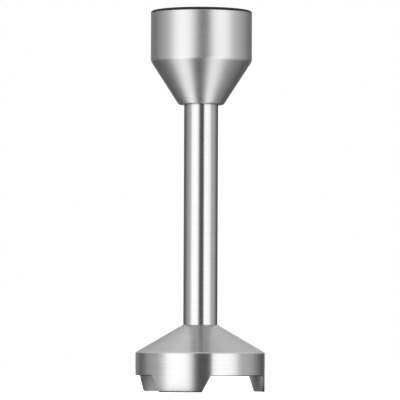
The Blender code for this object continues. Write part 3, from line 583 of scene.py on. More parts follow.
# Coupling socket
SOCKET_BORE = 26.2 * MM
SOCKET_FLOOR_Z = 197 * MM
SHAFT_OPENING = 5.3 * MM
TOWER_RADIUS = 12.5 * MM
TOWER_BORE = 10 * MM
TOWER_TOP_Z = 209 * MM
TOWER_RIBS = 12
LUG_COUNT = 3
LUG_FACING = radians(30)
LUG_HALF_ANGLE = radians(18)
LUG_STOP_ANGLE = radians(14)
LUG_INNER_RADIUS = 23.7 * MM
LUG_BOTTOM_Z = 210 * MM
LUG_TOP_Z = 214 * MM
SCREW_COUNT = 3
SCREW_FACING = radians(90)
SCREW_CIRCLE = 16.5 * MM
SCREW_HOLE = 1.7 * MM
SCREW_SHANK = 1.4 * MM
SCREW_HEAD_HEIGHT = 1.9 * MM
SCREW_STOP = 0.4            # where the first one stops, in radians
RECESS_LENGTH = 1.5 * MM    # from the screw's middle
RECESS_WIDTH = 0.35 * MM    # to each side
RECESS_DEPTH = 1.1 * MM


def groove(radius, wire_node, gap=0.25 * MM):
    """Return the corners of a groove in a wall, from bottom to top, round an O-ring."""
    _, low, high = reach(wire_node)
    depth = high - low + gap
    return [(radius, low - gap, 0.1 * MM), (radius - depth, low - gap, 0.15 * MM),
            (radius - depth, high + gap, 0.15 * MM), (radius, high + gap, 0.1 * MM)]


def screw_places():
    """Return where the socket's screws stand."""
    return [on_circle(SCREW_CIRCLE, SCREW_FACING + angle) for angle in around(SCREW_COUNT)]


def screw_holes(bottom, top):
    """Return the cutters of the holes that the socket's screws pass through."""
    return joined([moved(rod(SCREW_HOLE, bottom, top), place) for place in screw_places()])


def lug(middle):
    """Return a bayonet lug, whose far end runs down to the floor as a stop."""
    step = radians(0.6)
    outer = SOCKET_BORE + 0.6 * MM
    angles = around(12, -LUG_HALF_ANGLE, LUG_STOP_ANGLE)
    angles += around(4, LUG_STOP_ANGLE + step, LUG_HALF_ANGLE)

    def section(angle):
        offset = angle - middle
        is_stop = offset > LUG_STOP_ANGLE + step / 2
        bottom = SOCKET_FLOOR_Z - 0.5 * MM if is_stop else LUG_BOTTOM_Z
        ramp = 0.7 * MM * max(0.0, -offset / LUG_HALF_ANGLE - 0.6) / 0.4
        return rounded([(LUG_INNER_RADIUS, bottom + ramp, 0.3 * MM), (outer, bottom + ramp),
                        (outer, LUG_TOP_Z), (LUG_INNER_RADIUS, LUG_TOP_Z, 0.8 * MM)],
                       steps=EDGE_STEPS)

    return swept(section, [middle + angle for angle in angles])


def make_socket():
    """Add the moulded insert that the motor handle plugs into."""
    radius, bottom, top = reach("coupling_socket")
    entry = 0.5 * MM
    corners = [(SHAFT_OPENING, bottom, 0.2 * MM), (radius - 1 * MM, bottom, 0.5 * MM),
               (radius, bottom + 1 * MM, 0.5 * MM), *groove(radius, "socket_o_ring"),
               (radius, top, 0.15 * MM), (SOCKET_BORE + entry, top, 0.2 * MM),
               (SOCKET_BORE, top - entry, 0.3 * MM), (SOCKET_BORE, SOCKET_FLOOR_Z, 1.2 * MM),
               (TOWER_RADIUS, SOCKET_FLOOR_Z, 0.8 * MM), (TOWER_RADIUS, TOWER_TOP_Z, 0.4 * MM),
               (TOWER_BORE, TOWER_TOP_Z, 0.6 * MM), (TOWER_BORE, SOCKET_FLOOR_Z, 0.5 * MM),
               (SHAFT_OPENING, SOCKET_FLOOR_Z, 0.25 * MM)]
    lugs = joined([lug(LUG_FACING + angle) for angle in around(LUG_COUNT)])
    inset = 0.4 * MM
    rib = rectangle(TOWER_RADIUS - inset, TOWER_RADIUS + inset, inset)
    ribs = joined([moved(prism(rib, SOCKET_FLOOR_Z - inset, TOWER_TOP_Z - 1.5 * MM), turn=angle)
                   for angle in around(TOWER_RIBS)])
    boss = ring(SCREW_HOLE + 1.5 * MM, SCREW_HOLE + 2.3 * MM, SOCKET_FLOOR_Z - inset,
                SOCKET_FLOOR_Z + 0.6 * MM, 0.15 * MM)
    bosses = joined([moved(turned(boss, CUTTER_FACETS), place) for place in screw_places()])
    body = combined(turned(rounded(corners), SHELL_FACETS), [lugs, ribs, bosses], "UNION")
    holes = screw_holes(bottom - inset, SOCKET_FLOOR_Z + inset)
    show("moulded_socket", combined(body, [holes]), "coupling_socket")


def make_o_ring(name, node):
    """Add an O-ring."""
    radius, bottom, top = reach(node)
    wire_radius = (top - bottom) / 2
    show(name, turned(wire(radius - wire_radius, wire_radius, bottom + wire_radius)), node)


def make_screws():
    """Add the pan-head screws with cross recesses."""
    for i, place in enumerate(screw_places()):
        node = f"socket_screw_{i + 1}"
        low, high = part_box(node)
        radius = (high.x - low.x) / 2
        seat = high.z - SCREW_HEAD_HEIGHT
        corners = [(0, low.z), (0.4 * MM, low.z), (SCREW_SHANK, low.z + 1.6 * MM, 0.2 * MM),
                   (SCREW_SHANK, seat), (radius, seat, 0.15 * MM), (radius, high.z, 1.2 * MM),
                   (0, high.z)]
        screw = turned(rounded(corners), STUD_FACETS)
        arm = rectangle(-RECESS_LENGTH, RECESS_LENGTH, RECESS_WIDTH)
        arms = [moved(prism(arm, high.z - RECESS_DEPTH, high.z + 0.3 * MM, 1.15), turn=turn)
                for turn in (0, pi / 2)]
        screw = combined(screw, arms)
        show(f"pan_head_screw_{i + 1}", moved(screw, (place.x, place.y, 0), SCREW_STOP + i), node)


# Carrier and upper bearing
CARRIER_BORE = 4.5 * MM
CARRIER_RADIUS = 13.5 * MM
CARRIER_SPIGOT = 8.7 * MM
FLANGE_THICKNESS = 5.6 * MM
POCKET_RADIUS = 9.8 * MM
POCKET_DEPTH = 9.7 * MM
CLIP_EDGE = 0.08 * MM
CLIP_STEPS = 120


def make_carrier():
    """Add the turned carrier that joins the tube, the bearing and the socket."""
    radius, bottom, top = reach("bearing_carrier")
    clip_radius, clip_low, clip_high = reach("bearing_circlip")
    slack = 0.2 * MM
    small = 0.2 * MM
    corners = [(CARRIER_BORE, bottom, small), (CARRIER_SPIGOT, bottom, 0.6 * MM),
               (CARRIER_SPIGOT, TUBE_TOP + slack, small), (CARRIER_RADIUS, TUBE_TOP + slack, 0.5 * MM),
               (CARRIER_RADIUS, top - FLANGE_THICKNESS, 1.5 * MM),
               (radius, top - FLANGE_THICKNESS, 0.5 * MM), (radius, top, 0.5 * MM),
               (POCKET_RADIUS, top, 0.4 * MM), (POCKET_RADIUS, clip_high + slack),
               (clip_radius + slack, clip_high + slack), (clip_radius + slack, clip_low - slack),
               (POCKET_RADIUS, clip_low - slack), (POCKET_RADIUS, top - POCKET_DEPTH, 0.3 * MM),
               (CARRIER_BORE, top - POCKET_DEPTH, small)]
    holes = screw_holes(top - FLANGE_THICKNESS - slack, top + slack)
    carrier = turned(rounded(corners), CARRIER_FACETS)
    show("turned_carrier", combined(carrier, [holes]), "bearing_carrier")


def make_wave_washer():
    """Add the sprung washer under the bearing."""
    radius, bottom, top = reach("wave_washer")
    waves = 3
    bore = 7.6 * MM
    thickness = 0.4 * MM
    rise = (top - bottom - thickness) / 2

    def section(angle):
        low = bottom + rise + rise * cos(waves * angle)
        return ring(bore, radius, low, low + thickness, CLIP_EDGE)

    show("sprung_washer", swept(section, around(144), wrap=True), "wave_washer")


def make_circlip():
    """Add the internal circlip, with an eyed ear at each end."""
    radius, bottom, top = reach("bearing_circlip")
    end = radians(162)
    ear_angle = radians(17)
    bore = 8.9 * MM
    ear = 1.4 * MM
    eye = 0.55 * MM
    eye_circle = 8.6 * MM

    def section(angle):
        share = min(1.0, max(0.0, (abs(angle) - end + ear_angle) / (0.3 * ear_angle)))
        inner = bore - ear * share * share * (3 - 2 * share)
        return ring(inner, radius, bottom, top, CLIP_EDGE)

    eyes = joined([moved(rod(eye, bottom - 1 * MM, top + 1 * MM),
                         on_circle(eye_circle, side * (end - 0.5 * ear_angle))) for side in (-1, 1)])
    clip = swept(section, around(CLIP_STEPS, -end, end))
    show("eyed_circlip", combined(clip, [eyes]), "bearing_circlip")


def make_e_clip():
    """Add the shaft's E-clip, with three prongs that grip the groove."""
    radius, bottom, top = reach("shaft_e_clip")
    end = radians(138)
    inset = radians(16)
    prongs = [0.0, end - inset, inset - end]
    grip = 2.6 * MM
    relief = 0.9 * MM

    def section(angle):
        nearest = min(abs(angle - prong) for prong in prongs)
        share = min(1.0, max(0.0, (nearest - radians(15)) / radians(8)))
        return ring(grip + relief * share, radius, bottom, top, CLIP_EDGE)

    show("gripping_clip", swept(section, around(CLIP_STEPS, -end, end)), "shaft_e_clip")


BALL_CIRCLE = 6.25 * MM
BALL_COUNT = 7
BALL_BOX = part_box("bearing_ball_1")
BALL_RADIUS = (BALL_BOX[1].z - BALL_BOX[0].z) / 2


def make_races():
    """Add the bearing's two races, their grooves and their shield seats."""
    radius, bottom, top = reach("bearing_outer_race")
    middle = (bottom + top) / 2
    track = BALL_RADIUS + 0.06 * MM
    seat = 0.95 * MM
    small = 0.12 * MM

    def track_points(shoulder, side):
        half = acos(abs(BALL_CIRCLE - shoulder) / track)
        turns = [half * (i / 8 - 1) for i in range(17)]
        return [Vector((BALL_CIRCLE + side * track * cos(t), middle + track * sin(t)))
                for t in turns]

    inner_bore, inner_shoulder = 3.1 * MM, 4.95 * MM
    inner = rounded([(inner_shoulder, top), (inner_bore, top, 0.3 * MM),
                     (inner_bore, bottom, 0.3 * MM), (inner_shoulder, bottom)], closed=False)
    show("inner_race", turned(inner + track_points(inner_shoulder, -1)), "bearing_inner_race")
    shoulder, shield_seat = 7.55 * MM, 8.05 * MM
    outer = rounded([(shoulder, bottom + seat), (shield_seat, bottom + seat, small),
                     (shield_seat, bottom, small), (radius, bottom, 0.3 * MM),
                     (radius, top, 0.3 * MM), (shield_seat, top, small),
                     (shield_seat, top - seat, small), (shoulder, top - seat)], closed=False)
    show("outer_race", turned(outer + track_points(shoulder, 1)[::-1]), "bearing_outer_race")


def make_shields():
    """Add the pressed shields, each with a shallow step."""
    bore, step_from, step_to = 5.3 * MM, 6.3 * MM, 6.7 * MM
    for name, node, outward in (("top_shield", "bearing_shield_upper", 1),
                                ("bottom_shield", "bearing_shield_lower", -1)):
        radius, bottom, top = reach(node)
        middle = (bottom + top) / 2
        wall = (top - bottom) * 0.7
        step = 0.12 * MM * outward
        path = [(bore, middle - step), (step_from, middle - step), (step_to, middle + step),
                (radius, middle + step)]
        low = [(x, y - wall / 2) for x, y in path]
        high = [(x, y + wall / 2) for x, y in reversed(path)]
        show(name, turned(rounded(low + high)), node, edge=0.05 * MM)


def make_balls():
    """Add the balls."""
    for i in range(BALL_COUNT):
        node = f"bearing_ball_{i + 1}"
        low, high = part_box(node)
        bm = bmesh.new()
        bmesh.ops.create_icosphere(bm, subdivisions=4, radius=BALL_RADIUS)
        show(f"polished_ball_{i + 1}", moved(bm, (low + high) / 2), node)


def make_cage():
    """Add the crown cage that spaces the balls."""
    radius, bottom, top = reach("bearing_cage")
    bore = 5.6 * MM
    pocket = 1.72 * MM
    centre = (BALL_BOX[0].z + BALL_BOX[1].z) / 2
    pockets = []
    for angle in around(BALL_COUNT):
        bm = bmesh.new()
        bmesh.ops.create_uvsphere(bm, u_segments=32, v_segments=20, radius=pocket)
        pockets.append(moved(bm, on_circle(BALL_CIRCLE, angle, centre)))
    cage = turned(ring(bore, radius, bottom, top, 0.15 * MM))
    show("crown_cage", combined(cage, [joined(pockets)]), "bearing_cage")


# Drive line
STUD_RADIUS = 2.35 * MM
SHAFT_SHOULDER_Z = 15.1 * MM
SHAFT_BORE = 3.05 * MM          # of what the shaft runs or sits in
CLIP_GROOVE = 2.3 * MM
PIN_Z = 202.5 * MM
PIN_HOLE = 1 * MM
SPLINE_COUNT = 6
SPLINE_ROOT = 5.4 * MM
SPLINE_TIP = 4.4 * MM
SPLINE_DEPTH = 8 * MM


def cross_hole(half_length):
    """Return the cutter of the hole for the pin, across the shaft along X."""
    drill = moved(rod(PIN_HOLE, -half_length, half_length), turn=pi / 2, axis="Y")
    return moved(drill, (0, 0, PIN_Z))


def make_shaft():
    """Add the shaft, with centre holes, a clip groove, a pin hole and a stud for the blade."""
    radius, bottom, top = reach("drive_shaft")
    _, clip_low, clip_high = reach("shaft_e_clip")
    slack = 0.1 * MM
    centre = 0.9 * MM
    pitch = 0.8 * MM
    corners = [(0, bottom + centre), (centre, bottom), (STUD_RADIUS - 0.4 * MM, bottom)]
    turns = int((SHAFT_SHOULDER_Z - bottom - pitch) / pitch * 2)
    for i in range(turns):
        height = bottom + 0.4 * MM + i * pitch / 2
        corners.append((STUD_RADIUS - (0.4 * MM if i % 2 else 0.0), height, 0.05 * MM))
    corners += [(STUD_RADIUS - 0.4 * MM, SHAFT_SHOULDER_Z), (radius, SHAFT_SHOULDER_Z, 0.2 * MM),
                (radius, clip_low - slack), (CLIP_GROOVE, clip_low - slack),
                (CLIP_GROOVE, clip_high + slack), (radius, clip_high + slack),
                (radius, top - 0.4 * MM, 0.1 * MM), (radius - 0.4 * MM, top),
                (centre, top), (0, top - centre)]
    shaft = turned(rounded(corners, closed=False), STUD_FACETS)
    show("ground_shaft", combined(shaft, [cross_hole(5 * MM)]), "drive_shaft")


def spline_outline():
    """Return the star-shaped section of the dog's socket, with rounded teeth."""
    count = 4 * SPLINE_COUNT
    radii = [SPLINE_ROOT if i % 4 < 2 else SPLINE_TIP for i in range(count)]
    return rounded([(*on_circle(radius, i * tau / count).xy, 0.25 * MM)
                    for i, radius in enumerate(radii)])


def make_dog():
    """Add the splined dog that the motor drives, with a lead-in at its mouth."""
    radius, bottom, top = reach("drive_coupling")
    waist = 7.2 * MM
    shoulder = bottom + 6.5 * MM
    corners = [(SHAFT_BORE, bottom, 0.2 * MM), (radius, bottom, 0.8 * MM), (radius, shoulder, 0.5 * MM),
               (waist, shoulder + 0.8 * MM, 0.5 * MM), (waist, top, 0.7 * MM), (SHAFT_BORE, top)]
    floor = top - SPLINE_DEPTH
    mouth = 0.9 * MM
    socket = prism(spline_outline(), floor, top + mouth)
    lead = turned([(0, top - mouth), (SPLINE_TIP, top - mouth), (SPLINE_ROOT + mouth, top + mouth),
                   (0, top + mouth)])
    dog = combined(turned(rounded(corners)), [socket, lead, cross_hole(9 * MM)])
    show("splined_dog", dog, "drive_coupling")


def make_pin():
    """Add the rolled spring pin through the dog, with its slit and eased ends."""
    low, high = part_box("coupling_pin")
    radius = (high.z - low.z) / 2
    gap = radians(14)
    ends = around(40, gap, tau - gap)
    outline = [on_circle(radius, angle).xy for angle in ends]
    outline += [on_circle(radius - 0.4 * MM, angle).xy for angle in reversed(ends)]
    pin = moved(prism(outline, low.x, high.x), turn=pi / 2, axis="Y")
    show("spring_pin", moved(pin, (0, 0, PIN_Z)), "coupling_pin", edge=0.1 * MM)


# Bushes, housing and seal
BUSH_BARREL = 6.4 * MM
COIL_FACETS = 12
STRAND_FACETS = 6


def make_rings():
    """Add the plain turned rings on the shaft."""
    for name, node, bore, edge in (("steel_sleeve", "spacer_sleeve", 3.1 * MM, 0.25 * MM),
                                   ("nylon_thrust_washer", "thrust_washer", 3.1 * MM, 0.12 * MM),
                                   ("plain_washer", "blade_washer", STUD_RADIUS + 0.1 * MM, 0.12 * MM),
                                   ("sintered_bush", "lower_bush", SHAFT_BORE, 0.3 * MM)):
        radius, bottom, top = reach(node)
        show(name, turned(ring(bore, radius, bottom, top, edge)), node)


def make_centre_bush():
    """Add the flanged bush that steadies the shaft."""
    radius, bottom, top = reach("centre_bush")
    flange = 0.7 * MM
    small = 0.12 * MM
    corners = [(SHAFT_BORE, bottom, 0.4 * MM), (radius, bottom, small),
               (radius, bottom + flange, small), (BUSH_BARREL, bottom + flange, 0.2 * MM),
               (BUSH_BARREL, top - flange, 0.2 * MM),
               (radius, top - flange, small), (radius, top, small), (SHAFT_BORE, top, 0.4 * MM)]
    show("flanged_bush", turned(rounded(corners)), "centre_bush")


def make_damper():
    """Add the fluted sleeve round the bush."""
    radius, bottom, top = reach("centre_damper")
    flutes = 16

    def section(angle):
        outer = radius - 0.35 * MM * (0.5 - 0.5 * cos(flutes * angle)) ** 2
        return ring(BUSH_BARREL + 0.05 * MM, outer, bottom, top, 0.3 * MM)

    show("fluted_damper", swept(section, around(192), wrap=True), "centre_damper")


def make_housing():
    """Add the moulded housing at the tube's foot."""
    radius, bottom, top = reach("lower_housing")
    nose, spigot, neck, bore = 9.8 * MM, 8.7 * MM, 4.2 * MM, 3.8 * MM
    bush_radius, bush_low, bush_high = reach("lower_bush")
    seal_radius, _, seal_top = reach("lip_seal")
    slack = 0.05 * MM
    flange_top = TUBE_BOTTOM - slack
    corners = [(seal_radius + slack, bottom, 0.4 * MM), (nose, bottom, 0.5 * MM),
               (nose, bottom + 3.5 * MM, 0.4 * MM), (radius, bottom + 3.5 * MM, 0.3 * MM),
               (radius, flange_top, 0.3 * MM), (spigot, flange_top, 0.15 * MM),
               *groove(spigot, "housing_o_ring"), (spigot, top, 0.8 * MM), (bore, top, 0.4 * MM),
               (bore, bush_high + slack, 0.1 * MM), (bush_radius + slack, bush_high + slack),
               (bush_radius + slack, bush_low - slack), (neck, bush_low - slack, 0.1 * MM),
               (neck, seal_top + slack, 0.1 * MM), (seal_radius + slack, seal_top + slack)]
    show("moulded_housing", turned(rounded(corners), HOUSING_FACETS), "lower_housing")


def make_seal():
    """Add the lip seal."""
    radius, bottom, top = reach("lip_seal")
    web = top - 1.5 * MM
    corners = [(3.02 * MM, bottom + 1.3 * MM, 0.1 * MM), (4 * MM, bottom + 1 * MM, 0.2 * MM),
               (4.4 * MM, bottom + 1.7 * MM, 0.2 * MM), (4.1 * MM, bottom + 2.4 * MM, 0.3 * MM),
               (4.3 * MM, web, 0.5 * MM), (radius - 1.3 * MM, web, 0.5 * MM),
               (radius - 1.3 * MM, bottom, 0.2 * MM), (radius, bottom, 0.3 * MM),
               (radius, top, 0.3 * MM), (3.6 * MM, top, 0.2 * MM),
               (3.6 * MM, bottom + 2.9 * MM, 0.6 * MM)]
    show("lipped_seal", turned(rounded(corners)), "lip_seal")


def make_spring():
    """Add the coiled garter spring that closes the seal's lip on the shaft."""
    radius, bottom, top = reach("seal_spring")
    coil = (top - bottom) / 2
    strand = 0.1 * MM
    circle = radius - coil
    coils = 84
    centres = []
    for angle in around(coils * COIL_FACETS):
        turn = angle * coils
        centres.append(on_circle(circle + (coil - strand) * cos(turn), angle,
                                 bottom + coil + (coil - strand) * sin(turn)))
    sections = []
    for i, centre in enumerate(centres):
        along = (centres[(i + 1) % len(centres)] - centres[i - 1]).normalized()
        side = along.cross(Vector((0, 0, 1))).normalized()
        up = side.cross(along)
        sections.append([centre + (side * cos(t) + up * sin(t)) * strand
                         for t in around(STRAND_FACETS)])
    show("garter_spring", lofted(sections, wrap=True), "seal_spring")


def make_cap():
    """Add the dished cap below the seal."""
    radius, bottom, top = reach("seal_cap")
    corners = [(3.9 * MM, bottom + 0.35 * MM, 0.15 * MM), (4.9 * MM, bottom, 0.3 * MM),
               (radius, bottom, 0.5 * MM), (radius, top, 0.15 * MM), (3.9 * MM, top, 0.15 * MM)]
    show("dished_cap", turned(rounded(corners), HOUSING_FACETS), "seal_cap")


# Cutter
BLADE_FACING = radians(35)
BLADE_THICKNESS = 1.2 * MM
BLADE_LENGTH = 27 * MM         # of one wing, from the axis
BLADE_ROOT = 8 * MM
BLADE_HALF_WIDTH = 6.6 * MM
BLADE_TIP_HALF_WIDTH = 3.8 * MM
BLADE_EDGE_WIDTH = 2.4 * MM
BLADE_EDGE_THICKNESS = 0.25 * MM
BLADE_STEPS = 40
WING_UP = radians(12)
WING_DOWN = radians(-8)
BEND = 2 * MM
BACK_HOLLOW = 0.9 * MM
FRONT_BELLY = 0.5 * MM
TIP_FROM = 0.86                # the share of a wing's length where its tip starts
TIP_BACK = 1.6 * MM            # how far each edge curves in at the tip
TIP_FRONT = 3.2 * MM
BLADE_LIFT = 0.3 * MM          # above the washer


def wing_rise(beyond, pitch):
    """Return how far a wing has risen past its root, with an eased bend."""
    slope = tan(pitch)
    return slope * (beyond - BEND / 2) if beyond > BEND else slope * beyond * beyond / BEND / 2


def blade_section(along):
    """Return the blade's section at a signed distance from the axis."""
    distance = abs(along)
    side = 1 if along >= 0 else -1
    beyond = max(0.0, distance - BLADE_ROOT)
    share = beyond / (BLADE_LENGTH - BLADE_ROOT)
    tip = max(0.0, (share - TIP_FROM) / (1 - TIP_FROM))
    taper = BLADE_HALF_WIDTH + (BLADE_TIP_HALF_WIDTH - BLADE_HALF_WIDTH) * share
    back = taper - BACK_HOLLOW * sin(pi * share) - TIP_BACK * tip * tip
    front = taper + FRONT_BELLY * sin(pi * share) - TIP_FRONT * tip * tip
    ground = min(1.0, beyond / (1.5 * MM))
    thin = BLADE_THICKNESS + (BLADE_EDGE_THICKNESS - BLADE_THICKNESS) * ground
    shoulder = max(front - BLADE_EDGE_WIDTH, 0.3 * MM)
    rise = wing_rise(beyond, WING_UP if side > 0 else WING_DOWN)
    points = [(-back, 0), (shoulder, 0), (front, 0), (front, thin),
              (shoulder, BLADE_THICKNESS), (-back, BLADE_THICKNESS)]
    if side < 0:
        points = [points[i] for i in (2, 1, 0, 5, 4, 3)]
    return [Vector((along, side * y, rise + z)) for y, z in points]


def make_blade():
    """Add the two-winged blade, one wing bent up, one down, each with a ground leading edge."""
    distances = [BLADE_LENGTH * (i / BLADE_STEPS * 2 - 1) for i in range(BLADE_STEPS + 1)]
    distances = [d for d in distances if abs(d) > BLADE_ROOT]
    distances += [side * (BLADE_ROOT + step) for side in (-1, 1) for step in (0, 0.4 * MM, 0.9 * MM)]
    bore = rod(STUD_RADIUS + 0.1 * MM, -1 * MM, 3 * MM)
    blade = combined(lofted([blade_section(d) for d in sorted(distances)]), [bore])
    blade.normal_update()
    for face in blade.faces:
        middle = face.calc_center_median()
        leading = middle.y if middle.x > 0 else -middle.y
        is_sloped = 0.02 < abs(face.normal.y) < 0.98
        beyond = abs(middle.x) - BLADE_ROOT
        face.material_index = int(is_sloped and beyond > 0 and leading > 0)
    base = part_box("blade_washer")[1].z + BLADE_LIFT
    show("ground_blade", moved(blade, (0, 0, base), BLADE_FACING), "blade", edge=0.08 * MM,
         finishes=("blade_steel", "ground_edge"))


def make_hub():
    """Add the hub above the blade."""
    radius, bottom, top = reach("blade_hub")
    neck = 5.2 * MM
    corners = [(SHAFT_BORE, bottom, 0.15 * MM), (radius, bottom, 0.25 * MM),
               (radius, bottom + 1.4 * MM, 0.4 * MM), (neck, bottom + 2.8 * MM, 1 * MM),
               (neck, top - 1.4 * MM, 0.5 * MM), (neck - 0.7 * MM, top, 0.3 * MM),
               (SHAFT_BORE, top, 0.15 * MM)]
    show("flanged_hub", turned(rounded(corners)), "blade_hub")


def make_nut():
    """Add the six-sided nut below the blade."""
    low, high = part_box("blade_nut")
    corner = high.x
    flat = corner * cos(pi / 6)
    chamfer = 0.35 * MM
    hexagon = [on_circle(corner, angle).xy for angle in around(6)]
    bound = turned([(0, low.z), (flat - 0.1 * MM, low.z), (corner, low.z + chamfer),
                    (corner, high.z - chamfer), (flat - 0.1 * MM, high.z), (0, high.z)])
    nut = combined(prism(hexagon, low.z, high.z), [bound], "INTERSECT")
    hole, mouth = STUD_RADIUS + 0.08 * MM, STUD_RADIUS + 0.5 * MM
    bore = turned([(0, low.z - chamfer), (mouth, low.z - chamfer), (hole, low.z + chamfer),
                   (hole, high.z - chamfer), (mouth, high.z + chamfer), (0, high.z + chamfer)],
                  STUD_FACETS)
    show("chamfered_nut", combined(nut, [bore]), "blade_nut", edge=0.06 * MM)


make_head()
make_rim()
make_tube()
make_bell()
make_socket()
make_o_ring("insert_o_ring", "socket_o_ring")
make_screws()
make_carrier()
make_wave_washer()
make_circlip()
make_races()
make_shields()
make_balls()
make_cage()
make_shaft()
make_e_clip()
make_dog()
make_pin()
make_rings()
make_centre_bush()
make_damper()
make_housing()
make_o_ring("spigot_o_ring", "housing_o_ring")
make_seal()
make_spring()
make_cap()
make_blade()
make_hub()
make_nut()


# Camera, light and stage

def make_camera():
    """Add the camera, a little above the table, looking slightly up at the arm."""
    side = Vector((cos(CAMERA_AZIMUTH), sin(CAMERA_AZIMUTH), 0))
    place = Vector((sin(CAMERA_AZIMUTH), -cos(CAMERA_AZIMUTH), 0)) * CAMERA_DISTANCE
    place.z = CAMERA_HEIGHT
    aim = Vector((0, 0, AIM_HEIGHT)) - side * AIM_ASIDE
    data = bpy.data.cameras.new("camera")
    data.lens = CAMERA_LENS
    camera = bpy.data.objects.new("camera", data)
    bpy.context.scene.collection.objects.link(camera)
    turn = (aim - place).to_track_quat("-Z", "Y").to_matrix().to_4x4()
    camera.matrix_world = Matrix.Translation(place) @ turn @ Matrix.Rotation(CAMERA_ROLL, 4, "Z")
    bpy.context.scene.camera = camera


# Radiance of the studio by the facing, in degrees to the right, of a surface that mirrors it at
# the camera: for an upright surface, for one that faces down and for one that faces up
PANELS = [(-90, 1.3), (-86, 1.1), (-81, 0.42), (-75, 0.38), (-66, 0.16), (-60, 0.22), (-52, 0.42),
          (-41, 0.56), (-36, 0.8), (-29, 1.53), (-24, 1.6), (-13, 1.56), (-9, 1.22), (-4, 0.27),
          (-1, 0.1), (7, 0.09), (9, 0.24), (12, 1.35), (16, 1.58), (28, 1.5), (33, 1.22), (37, 0.76),
          (41, 0.6), (50, 0.54), (62, 0.25), (70, 0.14), (78, 0.18), (82, 0.4), (86, 1.1), (90, 1.3)]
UNDER = [(-90, 1.2), (-86, 1.0), (-81, 0.32), (-75, 0.28), (-66, 0.12), (-50, 0.2), (-40, 0.26),
         (-30, 1.25), (-20, 1.75), (-14, 1.45), (-10, 0.05), (2, 0.01), (6, 0.36), (12, 1.65),
         (20, 1.6), (30, 0.58), (37, 0.34), (47, 0.28), (60, 0.1), (68, 0.14), (78, 0.32),
         (86, 1.0), (90, 1.2)]
CEILING = [(-90, 1.7), (-82, 0.82), (-74, 0.8), (-60, 0.84), (-35, 0.87), (-18, 0.92), (-10, 0.86),
           (-4, 0.92), (2, 0.72), (6, 0.74), (14, 0.72), (22, 0.8), (33, 0.84), (55, 0.92),
           (68, 0.92), (80, 1.15), (90, 1.7)]
LOW_GLOW = 0.3          # how much brighter the panels are a little below level
UNDERFOOT_DIM = 0.75    # how much darker it is straight down
BACK_WIDTH = 0.45       # the least width that a direction's rise is measured over
STEEP = (-0.35, -0.65)  # the fall over which a direction becomes straight down

# Tilts, in degrees, over which each of these comes in or goes out
GLOW_STARTS = (-18, -10)
GLOW_ENDS = (-6, -1)
UNDER_STARTS = (-9, -20)
DIM_STARTS = (-35, -58)
CEILING_STARTS = (8, 30)


def radiance_ramp(graph, share, stops):
    """Return the radiance along a row of (degrees, radiance) stops."""
    ramp = graph.node("ShaderNodeValToRGB", {"Fac": share})
    elements = ramp.color_ramp.elements
    elements.remove(elements[-1])
    for i, (degrees, radiance) in enumerate(stops):
        element = elements[0] if i == 0 else elements.new((degrees + 90) / 180)
        element.position = (degrees + 90) / 180
        element.color = (radiance, radiance, radiance, 1)
    return graph.node("ShaderNodeSeparateColor", {"Color": ramp.outputs["Color"]}).outputs["Red"]


def by_angle(graph, value, degrees, low=0.0, high=1.0):
    """Return a value that goes from low to high as an angle goes over a range of degrees."""
    return graph.blend(value, *[radians(angle) for angle in degrees], low, high)


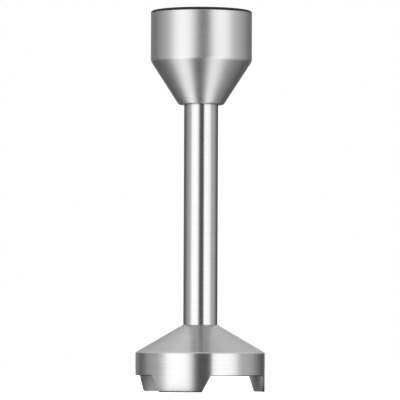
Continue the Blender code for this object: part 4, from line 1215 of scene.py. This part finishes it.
def make_world():
    """Light the arm with two tall soft panels beside the camera and a pale room behind."""
    world = bpy.data.worlds.new("studio")
    bpy.context.scene.world = world
    world.use_nodes = True
    graph = Graph(world.node_tree)
    world.node_tree.nodes.clear()
    direction = graph.node("ShaderNodeTexCoord").outputs["Generated"]
    local = graph.node("ShaderNodeVectorRotate", {"Vector": direction, "Angle": -CAMERA_AZIMUTH},
                       rotation_type="Z_AXIS").outputs[0]
    axes = graph.node("ShaderNodeSeparateXYZ", {"Vector": local}).outputs
    near = graph.math("SUBTRACT", 1.0, axes["Y"])
    width = level_length(graph, axes["X"], near)
    tilt = graph.math("ARCTAN2", axes["Z"], width)
    facing = graph.math("ARCTAN2", axes["X"], near)
    share = by_angle(graph, facing, (-90, 90))
    glow = graph.math("MULTIPLY", by_angle(graph, tilt, GLOW_STARTS),
                      by_angle(graph, tilt, GLOW_ENDS, LOW_GLOW, 0.0))
    panels = graph.math("MULTIPLY", radiance_ramp(graph, share, PANELS), graph.math("ADD", 1.0, glow))
    dim = graph.math("MULTIPLY", by_angle(graph, tilt, DIM_STARTS, 0.0, UNDERFOOT_DIM),
                     graph.blend(axes["Z"], *STEEP))
    under = graph.math("MULTIPLY", radiance_ramp(graph, share, UNDER), graph.math("SUBTRACT", 1.0, dim))
    rise = graph.math("ARCTAN2", axes["Z"], graph.math("MAXIMUM", width, BACK_WIDTH))
    below = by_angle(graph, rise, UNDER_STARTS)
    above = by_angle(graph, rise, CEILING_STARTS)
    middle = graph.math("SUBTRACT", graph.math("SUBTRACT", 1.0, below), above)
    lit = graph.math("MULTIPLY", panels, middle)
    lit = graph.math("MULTIPLY_ADD", under, below, lit)
    lit = graph.math("MULTIPLY_ADD", radiance_ramp(graph, share, CEILING), above, lit)
    studio = graph.node("ShaderNodeBackground", {"Color": (1, 1, 1, 1), "Strength": lit})
    paper = graph.node("ShaderNodeBackground", {"Color": (1, 1, 1, 1)})
    seen = graph.node("ShaderNodeLightPath").outputs["Is Camera Ray"]
    mix = graph.node("ShaderNodeMixShader", {0: seen, 1: studio.outputs[0], 2: paper.outputs[0]})
    graph.node("ShaderNodeOutputWorld", {"Surface": mix.outputs[0]})


TABLE_RADIUS = 1600 * MM
# Radii of the ring of painted shade under the bell's lower edges
SHADE_INNER = 36 * MM
SHADE_OUTER = 47 * MM


def make_shade():
    """Add a dark ring of painted shade on the table, just under the bell's lower edges and seen only in
    reflections; it stands in for the bell's shadow there.
    """
    top = CAD_BOX[0][2] - 0.02 * MM
    shade = as_object(turned(ring(SHADE_INNER, SHADE_OUTER, top - FIT, top, 0.0)), "table_shade")
    material, _, shader = new_material("table_shade")
    # The dark base colour is painted shade, a stand-in for the bell's shadow on the table
    set_values(shader, {"Base Color": (0.1, 0.1, 0.1, 1), "Roughness": 0.9})
    shade.data.materials.append(material)
    shade.visible_camera = False
    shade.visible_diffuse = False
    shade.visible_shadow = False


def make_floor():
    """Add the plain pale table top."""
    bm = bmesh.new()
    bmesh.ops.create_circle(bm, cap_ends=True, segments=96, radius=TABLE_RADIUS)
    floor = as_object(bm, "table_top")
    floor.location.z = CAD_BOX[0][2] - 0.05 * MM
    material, _, shader = new_material("table_top")
    set_values(shader, {"Base Color": (0.9, 0.9, 0.9, 1), "Roughness": 0.9, "Specular IOR Level": 0.0,
                        "Emission Color": (1, 1, 1, 1), "Emission Strength": 0.85})
    floor.data.materials.append(material)
    floor.visible_glossy = False


make_camera()
make_world()
make_floor()
make_shade()

bpy.context.scene.view_settings.view_transform = "Standard"
